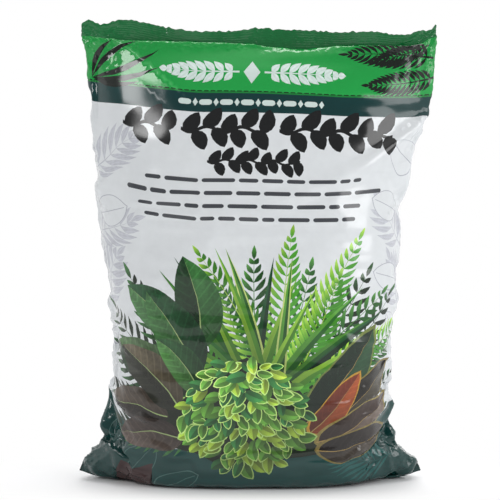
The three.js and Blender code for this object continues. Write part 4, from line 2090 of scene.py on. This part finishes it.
@dataclass(frozen=True)
class FilmSkin:
    """The film as a mesh that is cut along the outlines of its print."""

    tube: FilmTube
    surface: FilmSurface
    columns: int = 190
    spacing: float = 2.65
    fine_reach: float = 88.0
    fine_top: float = 45.0
    fine_foot: float = 72.0
    fine_crest: float = 14.0
    edge_split: int = 3
    snap: float = 0.0001
    border: float = 0.01

    def grid(self) -> np.ndarray:
        """Lay out staggered rows, denser at the corners and along the cut edges.

        Returns:
            Places on the flat film.
        """
        width, low = self.tube.width, -self.tube.top_fin
        high = self.tube.length + self.tube.foot_fin
        step = 2 * width / self.columns
        rows = np.linspace(low, high, round((high - low) / self.spacing) + 1)
        places = []
        for index, down in enumerate(rows):
            if index in (0, len(rows) - 1):
                line = np.linspace(-width, width, self.columns * self.edge_split + 1)
            elif index % 2:
                line = np.concatenate([[-width], -width + step * (np.arange(self.columns) + 0.5), [width]])
            else:
                line = np.linspace(-width, width, self.columns + 1)
            places.append(np.stack([line, np.full_like(line, down)], 1))
            if 0 < index < len(rows) - 2:
                between = -width + step * (np.arange(1, self.columns * 2 - 1) / 2 + 0.25)
                level = down + (rows[1] - rows[0]) / 2
                end = (level < self.fine_top) | (level > self.tube.length - self.fine_foot)
                fine = (np.abs(self.tube.folded(between)) > self.fine_reach) & end
                chosen = between[fine] if level > self.fine_crest else between
                places.append(np.stack([chosen, np.full_like(chosen, level)], 1))
        return np.concatenate(places)

    def cut(self, shapes: list[Shape]) -> tuple[np.ndarray, np.ndarray, np.ndarray]:
        """Triangulate the flat film along the outlines of the shapes.

        Args:
            shapes: The printed shapes, in the order of printing.

        Returns:
            Flat places, triangles, and the number of the topmost shape of each triangle, or -1.
        """
        grid = self.grid()
        places, loops, count = [grid], [], len(grid)
        for shape in shapes:
            outline = shape.outline * (1, -1)
            (x, y), (next_x, next_y) = outline.T, np.roll(outline, -1, 0).T
            area = np.sum(x * next_y - next_x * y)
            loop = list(range(count, count + len(outline)))
            loops.append(loop if area > 0 else loop[::-1])
            places.append(shape.outline)
            count += len(outline)
        given = [Vector((across, -down)) for across, down in np.concatenate(places)]
        points, _, faces, _, _, origins = delaunay_2d_cdt(given, [], loops, 0, self.snap, True)
        flat_places = np.array([(point.x, -point.y) for point in points])
        return flat_places, np.array(faces), np.array([max(found, default=-1) for found in origins])

    def weld(self, flat_places: np.ndarray, points: np.ndarray) -> np.ndarray:
        """Join the places that meet where the tube is cut open and at its two ends.

        Args:
            flat_places: Places on the flat film.
            points: Their points in space, in millimetres.

        Returns:
            For each point the first of those it's joined to.
        """
        low, high = -self.tube.top_fin, self.tube.length + self.tube.foot_fin
        across, down = flat_places.T
        side = np.abs(across) > self.tube.width - self.border
        border = side | (down < low + self.border) | (down > high - self.border)
        target = np.arange(len(points))
        chosen = np.flatnonzero(border)
        met = np.round(points[chosen], 2)
        _, first, which = np.unique(met, axis=0, return_index=True, return_inverse=True)
        target[chosen] = chosen[first[which.ravel()]]
        return target

    def build(self, shapes: list[Shape], shift: np.ndarray) -> bpy.types.Object:
        """Make the film's object.

        Args:
            shapes: The printed shapes, in the order of printing.
            shift: Move to the place of the solid, in millimetres.

        Returns:
            The film, with its print in the attributes print and leaf.
        """
        places, triangles, topmost = self.cut(shapes)
        points, normals = self.surface.place(places[:, 0], places[:, 1])
        target = self.weld(places, points)
        welded = target[triangles]
        whole = np.all(welded != np.roll(welded, 1, 1), 1)
        triangles, welded, topmost = triangles[whole], welded[whole], topmost[whole]
        used, order = np.unique(welded, return_inverse=True)
        mesh = bpy.data.meshes.new("printed_film")
        corners = order.reshape(welded.shape)
        mesh.from_pydata(((points[used] + shift) * MM).tolist(), [], corners.tolist())
        mesh.update()
        self.paint(mesh, places[triangles.ravel()], np.repeat(topmost, 3), shapes)
        mesh.shade_smooth()
        shared = np.bincount(target, minlength=len(points))[used] > 1
        bare = np.empty(len(used) * 3)
        mesh.vertices.foreach_get("normal", bare)
        smooth_normals = np.where(shared[:, None], bare.reshape(-1, 3), normals[used])
        mesh.normals_split_custom_set_from_vertices(smooth_normals.tolist())
        film = bpy.data.objects.new("printed_film", mesh)
        bpy.context.scene.collection.objects.link(film)
        return film

    def paint(
        self, mesh: bpy.types.Mesh, places: np.ndarray, topmost: np.ndarray, shapes: list[Shape]
    ) -> None:
        """Write the print, the leaves' own directions and the flat places to the mesh's corners.

        Args:
            mesh: The film's mesh.
            places: The flat place of each corner.
            topmost: The number of each corner's topmost shape, or -1.
            shapes: The printed shapes, in the order of printing.
        """
        colours = np.empty((len(places), 4))
        colours[:] = (*Ink.FILM.value, 1.0)
        leaves = np.zeros((len(places), 3))
        order = np.argsort(topmost, kind="stable")
        bounds = np.searchsorted(topmost[order], np.arange(len(shapes) + 1))
        for index, shape in enumerate(shapes):
            chosen = order[bounds[index] : bounds[index + 1]]
            if len(chosen):
                along, side = shape.local(places[chosen])
                share = smooth(along)[:, None]
                colours[chosen, :3] = np.array(shape.start) * (1 - share) + np.array(shape.end) * share
                leaves[chosen] = np.stack([along, side, np.full_like(along, shape.veins)], 1)
        linear = linear_light(colours)
        linear[:, 3] = 1
        ink = mesh.color_attributes.new("print", "FLOAT_COLOR", "CORNER")
        ink.data.foreach_set("color", linear.ravel())
        leaf = mesh.attributes.new("leaf", "FLOAT_VECTOR", "CORNER")
        leaf.data.foreach_set("vector", leaves.ravel())
        total = 2 * self.tube.width
        flat_map = mesh.uv_layers.new(name="flat_film")
        spots = np.stack([places[:, 0] / total + 0.5, 1 - (places[:, 1] + self.tube.top_fin) / total], 1)
        flat_map.data.foreach_set("uv", spots.ravel())


class Nodes:
    """A shader's nodes, added and joined in short calls."""

    def __init__(self, owner: bpy.types.Material | bpy.types.World) -> None:
        """Start from the nodes that the material or the world has.

        Args:
            owner: The material or the world.
        """
        owner.use_nodes = True
        self.tree = owner.node_tree

    @property
    def shader(self) -> bpy.types.Node:
        """The material's own shader."""
        return self.tree.nodes["Principled BSDF"]

    def add(self, kind: str, **values: object) -> bpy.types.Node:
        """Add a node and set its properties.

        Args:
            kind: The node's type.
            values: The properties, by name.

        Returns:
            The node.
        """
        node = self.tree.nodes.new(kind)
        for name, value in values.items():
            setattr(node, name, value)
        return node

    def join(self, start: bpy.types.NodeSocket, end: bpy.types.NodeSocket) -> None:
        """Join two sockets."""
        self.tree.links.new(start, end)

    def parts(self, vector: bpy.types.NodeSocket) -> bpy.types.NodeOutputs:
        """Take a vector apart.

        Args:
            vector: The vector.

        Returns:
            Sockets named X, Y and Z.
        """
        node = self.add("ShaderNodeSeparateXYZ")
        self.join(vector, node.inputs[0])
        return node.outputs

    def math(self, operation: str, *values: float | bpy.types.NodeSocket) -> bpy.types.NodeSocket:
        """Work out a value from sockets and numbers.

        Args:
            operation: The node's operation.
            values: Its inputs.

        Returns:
            The result.
        """
        node = self.add("ShaderNodeMath", operation=operation)
        for socket, value in zip(node.inputs, values):
            if isinstance(value, (int, float)):
                socket.default_value = value
            else:
                self.join(value, socket)
        return node.outputs[0]

    def noise(self, where: bpy.types.NodeSocket, scale: float, detail: float = 3.0) -> bpy.types.NodeSocket:
        """Add noise from 0 to 1.

        Args:
            where: The place.
            scale: Waves a metre.
            detail: How many finer layers it has.

        Returns:
            The noise.
        """
        node = self.add("ShaderNodeTexNoise")
        node.inputs["Scale"].default_value = scale
        node.inputs["Detail"].default_value = detail
        self.join(where, node.inputs["Vector"])
        return node.outputs["Fac"]

    def seen_directly(self, path: bpy.types.Node) -> bpy.types.NodeSocket:
        """Tell what the camera sees straight, mirrored or through something.

        Args:
            path: The node that knows the kind of the ray.

        Returns:
            1 for such rays and 0 for the others.
        """
        seen = self.math("MAXIMUM", path.outputs["Is Camera Ray"], path.outputs["Is Glossy Ray"])
        return self.math("MAXIMUM", seen, path.outputs["Is Transmission Ray"])


@dataclass(frozen=True)
class GlossyFilm:
    """The finish of printed polyethylene film."""

    roughness: float = 0.13
    roughness_change: float = 0.08
    roughness_waves: float = 26.0
    vein_count: float = 9.0
    vein_lean: float = 0.22
    vein_sharpness: float = 5.0
    vein_light: float = 0.45
    fold_light: float = 0.4
    fold_datum: float = 0.35
    grain: float = 0.05
    grain_waves: float = 160.0
    leaf_grain: float = 0.9
    leaf_grain_waves: float = 420.0
    wrinkle: float = 0.00007
    wrinkle_waves: float = 90.0
    wrinkle_strength: float = 0.5
    crimp_pitch: float = 1.3
    crimp_depth: float = 0.00003
    top_margin: float = 1.0
    foot_margin: float = 3.0
    refraction: float = 1.5

    def material(self, tube: FilmTube) -> bpy.types.Material:
        """Make the material.

        Args:
            tube: The flat tube, for the places of the crimped seals.

        Returns:
            The material.
        """
        material = bpy.data.materials.new("printed_film")
        nodes = Nodes(material)
        place = nodes.add("ShaderNodeTexCoord").outputs["Object"]
        shader = nodes.shader
        nodes.join(self.printed(nodes, place), shader.inputs["Base Color"])
        rough = nodes.math(
            "MULTIPLY_ADD", nodes.noise(place, self.roughness_waves), self.roughness_change,
            self.roughness - self.roughness_change / 2,
        )
        nodes.join(rough, shader.inputs["Roughness"])
        nodes.join(self.bumps(nodes, place, tube), shader.inputs["Normal"])
        shader.inputs["IOR"].default_value = self.refraction
        return material

    def printed(self, nodes: Nodes, place: bpy.types.NodeSocket) -> bpy.types.NodeSocket:
        """Work out the colour of the print, with the leaves' veins and middle folds and a fine grain.

        Args:
            nodes: The material's nodes.
            place: The place on the object.

        Returns:
            The colour.
        """
        ink = nodes.add("ShaderNodeAttribute", attribute_name="print").outputs["Color"]
        leaf = nodes.parts(nodes.add("ShaderNodeAttribute", attribute_name="leaf").outputs["Vector"])
        along, share = leaf["X"], leaf["Z"]
        aside = nodes.math("ABSOLUTE", leaf["Y"])
        slanted = nodes.math("SUBTRACT", along, nodes.math("MULTIPLY", aside, self.vein_lean))
        wave = nodes.math("SINE", nodes.math("MULTIPLY", slanted, 2 * math.pi * self.vein_count))
        vein = nodes.math("POWER", nodes.math("MAXIMUM", wave, 0.0), self.vein_sharpness)
        vein = nodes.math("MULTIPLY", vein, nodes.math("MULTIPLY", share, self.vein_light))
        crease = nodes.math("PINGPONG", nodes.math("MULTIPLY", aside, 2.0), 1.0)
        fold = nodes.math("SUBTRACT", crease, self.fold_datum)
        vein = nodes.math("MULTIPLY_ADD", fold, nodes.math("MULTIPLY", share, self.fold_light), vein)
        mottle = nodes.noise(place, self.grain_waves, 4.0)
        tone = nodes.math("MULTIPLY_ADD", mottle, self.grain * 2, 1 - self.grain)
        specks = nodes.math("SUBTRACT", nodes.noise(place, self.leaf_grain_waves, 2.0), 0.5)
        strength = nodes.math("MULTIPLY_ADD", specks, nodes.math("MULTIPLY", share, self.leaf_grain), tone)
        strength = nodes.math("ADD", strength, vein)
        colour = nodes.add("ShaderNodeVectorMath", operation="SCALE")
        nodes.join(ink, colour.inputs[0])
        nodes.join(strength, colour.inputs["Scale"])
        return colour.outputs[0]

    def bumps(self, nodes: Nodes, place: bpy.types.NodeSocket, tube: FilmTube) -> bpy.types.NodeSocket:
        """Work out the fine wrinkles and the crimped ribs of both seals.

        Args:
            nodes: The material's nodes.
            place: The place on the object.
            tube: The flat tube, for the places of the seals.

        Returns:
            The direction in which the surface faces.
        """
        spot = nodes.parts(nodes.add("ShaderNodeUVMap", uv_map="flat_film").outputs["UV"])
        down = nodes.math("MULTIPLY", nodes.math("SUBTRACT", 1.0, spot["Y"]), 2 * tube.width)
        ribs = nodes.math("SINE", nodes.math("MULTIPLY", down, 2 * math.pi / self.crimp_pitch))
        at_top = nodes.math("LESS_THAN", down, tube.top_fin - self.top_margin)
        at_foot = nodes.math("GREATER_THAN", down, tube.top_fin + tube.length - self.foot_margin)
        ribs = nodes.math("MULTIPLY", ribs, nodes.math("ADD", at_top, at_foot))
        crimp = nodes.add("ShaderNodeBump")
        crimp.inputs["Distance"].default_value = self.crimp_depth
        nodes.join(ribs, crimp.inputs["Height"])
        bump = nodes.add("ShaderNodeBump")
        bump.inputs["Distance"].default_value = self.wrinkle
        bump.inputs["Strength"].default_value = self.wrinkle_strength
        nodes.join(nodes.noise(place, self.wrinkle_waves, 4.0), bump.inputs["Height"])
        nodes.join(crimp.outputs[0], bump.inputs["Normal"])
        return bump.outputs[0]


@dataclass(frozen=True)
class Lamp:
    """A softbox: where it stands, how large it is and how strong."""

    name: str
    place: Triple
    size: Place
    power: float
    aim: Triple = (0.0, 0.0, 0.16)

    def build(self) -> None:
        """Add the lamp to the scene."""
        light = bpy.data.lights.new(self.name, "AREA")
        light.shape = "RECTANGLE"
        light.size, light.size_y = self.size
        light.energy = self.power
        lamp = bpy.data.objects.new(self.name, light)
        lamp.location = self.place
        lamp.rotation_euler = (Vector(self.aim) - Vector(self.place)).to_track_quat("-Z", "Y").to_euler()
        bpy.context.scene.collection.objects.link(lamp)


@dataclass(frozen=True)
class Studio:
    """A plain pale floor, soft studio light and the camera."""

    lamps: tuple[Lamp, ...] = (
        Lamp("key_softbox", (-0.78, -0.93, 0.94), (0.32, 0.34), 3.6, (-0.09, -0.04, 0.28)),
        Lamp("side_softbox", (-1.5, -0.2, 0.7), (0.9, 1.2), 1.5),
        Lamp("fill_softbox", (1.4, -0.9, 0.8), (0.8, 1.2), 13.0),
        Lamp("top_softbox", (0.1, 0.46, 1.65), (1.5, 0.5), 14.0, (0.0, 0.0, 0.33)),
        Lamp("back_softbox", (0.3, 1.6, 0.8), (1.2, 1.2), 8.0),
    )
    ambient: float = 0.33
    front_gloss: float = 0.3
    gloss_from: float = -0.7
    gloss_to: float = -0.3
    floor_size: float = 60.0
    floor_colour: Colour = (0.93, 0.93, 0.94)
    floor_roughness: float = 0.6
    shadow_reach: float = 0.035
    white_reach: float = 0.09
    shadow_width: float = 0.35
    camera_distance: float = 1.75
    camera_rise: float = 7.0
    view_width: float = 0.368
    view_middle: float = 0.171

    def build_floor(self) -> None:
        """Add the floor."""
        bpy.ops.object.select_all(action="DESELECT")
        bpy.ops.mesh.primitive_plane_add(size=self.floor_size)
        floor = bpy.context.active_object
        floor.name = "floor"
        material = bpy.data.materials.new("floor")
        nodes = Nodes(material)
        nodes.shader.inputs["Base Color"].default_value = (*self.floor_colour, 1)
        nodes.shader.inputs["Roughness"].default_value = self.floor_roughness
        self.whiten(nodes)
        floor.data.materials.append(material)

    def whiten(self, nodes: Nodes) -> None:
        """Make the floor white to the camera away from the bag and its shadow.

        Args:
            nodes: The nodes of the floor's material.
        """
        narrowed = nodes.add("ShaderNodeVectorMath", operation="MULTIPLY")
        nodes.join(nodes.add("ShaderNodeTexCoord").outputs["Object"], narrowed.inputs[0])
        narrowed.inputs[1].default_value = (self.shadow_width, 1, 1)
        distance = nodes.add("ShaderNodeVectorMath", operation="LENGTH")
        nodes.join(narrowed.outputs[0], distance.inputs[0])
        far = nodes.add("ShaderNodeMapRange", interpolation_type="SMOOTHSTEP")
        far.inputs["From Min"].default_value = self.shadow_reach
        far.inputs["From Max"].default_value = self.white_reach
        nodes.join(distance.outputs["Value"], far.inputs["Value"])
        seen = nodes.seen_directly(nodes.add("ShaderNodeLightPath"))
        white = nodes.add("ShaderNodeEmission")
        mix = nodes.add("ShaderNodeMixShader")
        nodes.join(nodes.math("MULTIPLY", far.outputs[0], seen), mix.inputs[0])
        nodes.join(nodes.shader.outputs[0], mix.inputs[1])
        nodes.join(white.outputs[0], mix.inputs[2])
        nodes.join(mix.outputs[0], nodes.tree.nodes["Material Output"].inputs["Surface"])

    def build_world(self) -> None:
        """White for what sees the surroundings, and soft light for the rest."""
        world = bpy.data.worlds.new("studio")
        bpy.context.scene.world = world
        nodes = Nodes(world)
        background = nodes.tree.nodes["Background"]
        background.inputs["Color"].default_value = (1, 1, 1, 1)
        path = nodes.add("ShaderNodeLightPath")
        strength = nodes.add("ShaderNodeMapRange")
        strength.inputs["To Min"].default_value = self.ambient
        strength.inputs["To Max"].default_value = 1.0
        nodes.join(nodes.seen_directly(path), strength.inputs["Value"])
        direction = nodes.parts(nodes.add("ShaderNodeTexCoord").outputs["Generated"])
        front = nodes.add("ShaderNodeMapRange", interpolation_type="SMOOTHSTEP")
        gloss = {
            "From Min": self.gloss_from, "From Max": self.gloss_to, "To Min": self.front_gloss, "To Max": 1.0,
        }
        for name, value in gloss.items():
            front.inputs[name].default_value = value
        nodes.join(direction["Y"], front.inputs["Value"])
        reflected = nodes.add("ShaderNodeMix")
        nodes.join(path.outputs["Is Glossy Ray"], reflected.inputs["Factor"])
        nodes.join(strength.outputs[0], reflected.inputs["A"])
        nodes.join(front.outputs[0], reflected.inputs["B"])
        nodes.join(reflected.outputs["Result"], background.inputs["Strength"])

    def build_camera(self, middle: float) -> None:
        """Add the camera at the photograph's angle.

        Args:
            middle: The picture's middle across the bag, in metres.
        """
        camera = bpy.data.cameras.new("camera")
        camera.lens = camera.sensor_width * self.camera_distance / self.view_width
        rise = math.radians(self.camera_rise)
        back = Vector((0, -math.cos(rise), math.sin(rise)))
        eye = bpy.data.objects.new("camera", camera)
        eye.location = Vector((middle, 0, self.view_middle)) + back * self.camera_distance
        eye.rotation_euler = (-back).to_track_quat("-Z", "Y").to_euler()
        bpy.context.scene.collection.objects.link(eye)
        bpy.context.scene.camera = eye

    def build(self, middle: float) -> None:
        """Build the whole set.

        Args:
            middle: The picture's middle across the bag, in metres.
        """
        scene = bpy.context.scene
        scene.view_settings.view_transform = "Standard"
        self.build_camera(middle)
        self.build_world()
        self.build_floor()
        for lamp in self.lamps:
            lamp.build()


def main() -> None:
    """Build the bag and its set."""
    logging.basicConfig(level=logging.INFO, format="%(name)s: %(message)s")
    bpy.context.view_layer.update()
    tube = FilmTube()
    draped = Draping(tube).settle()
    log.info("film draped over the compost: %d by %d points", *draped.shape[:2])
    surface = FilmSurface(tube, draped)
    low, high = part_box(CAD_NODE)
    shift = np.array((low + high) / 2) / MM
    shift -= (draped.reshape(-1, 3).min(0) + draped.reshape(-1, 3).max(0)) / 2 / MM
    shift[2] = 0
    shapes = Bands(tube).shapes() + FrontPrint().shapes() + BackPrint().shapes()
    film = FilmSkin(tube, surface).build(shapes, shift)
    film.data.materials.append(GlossyFilm().material(tube))
    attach(film, "root")
    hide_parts(CAD_NODE)
    log.info("printed film: %d shapes, %d triangles", len(shapes), len(film.data.polygons))
    Studio().build(shift[0] * MM)
    log.info("studio built")


if __name__ == "__main__":
    main()
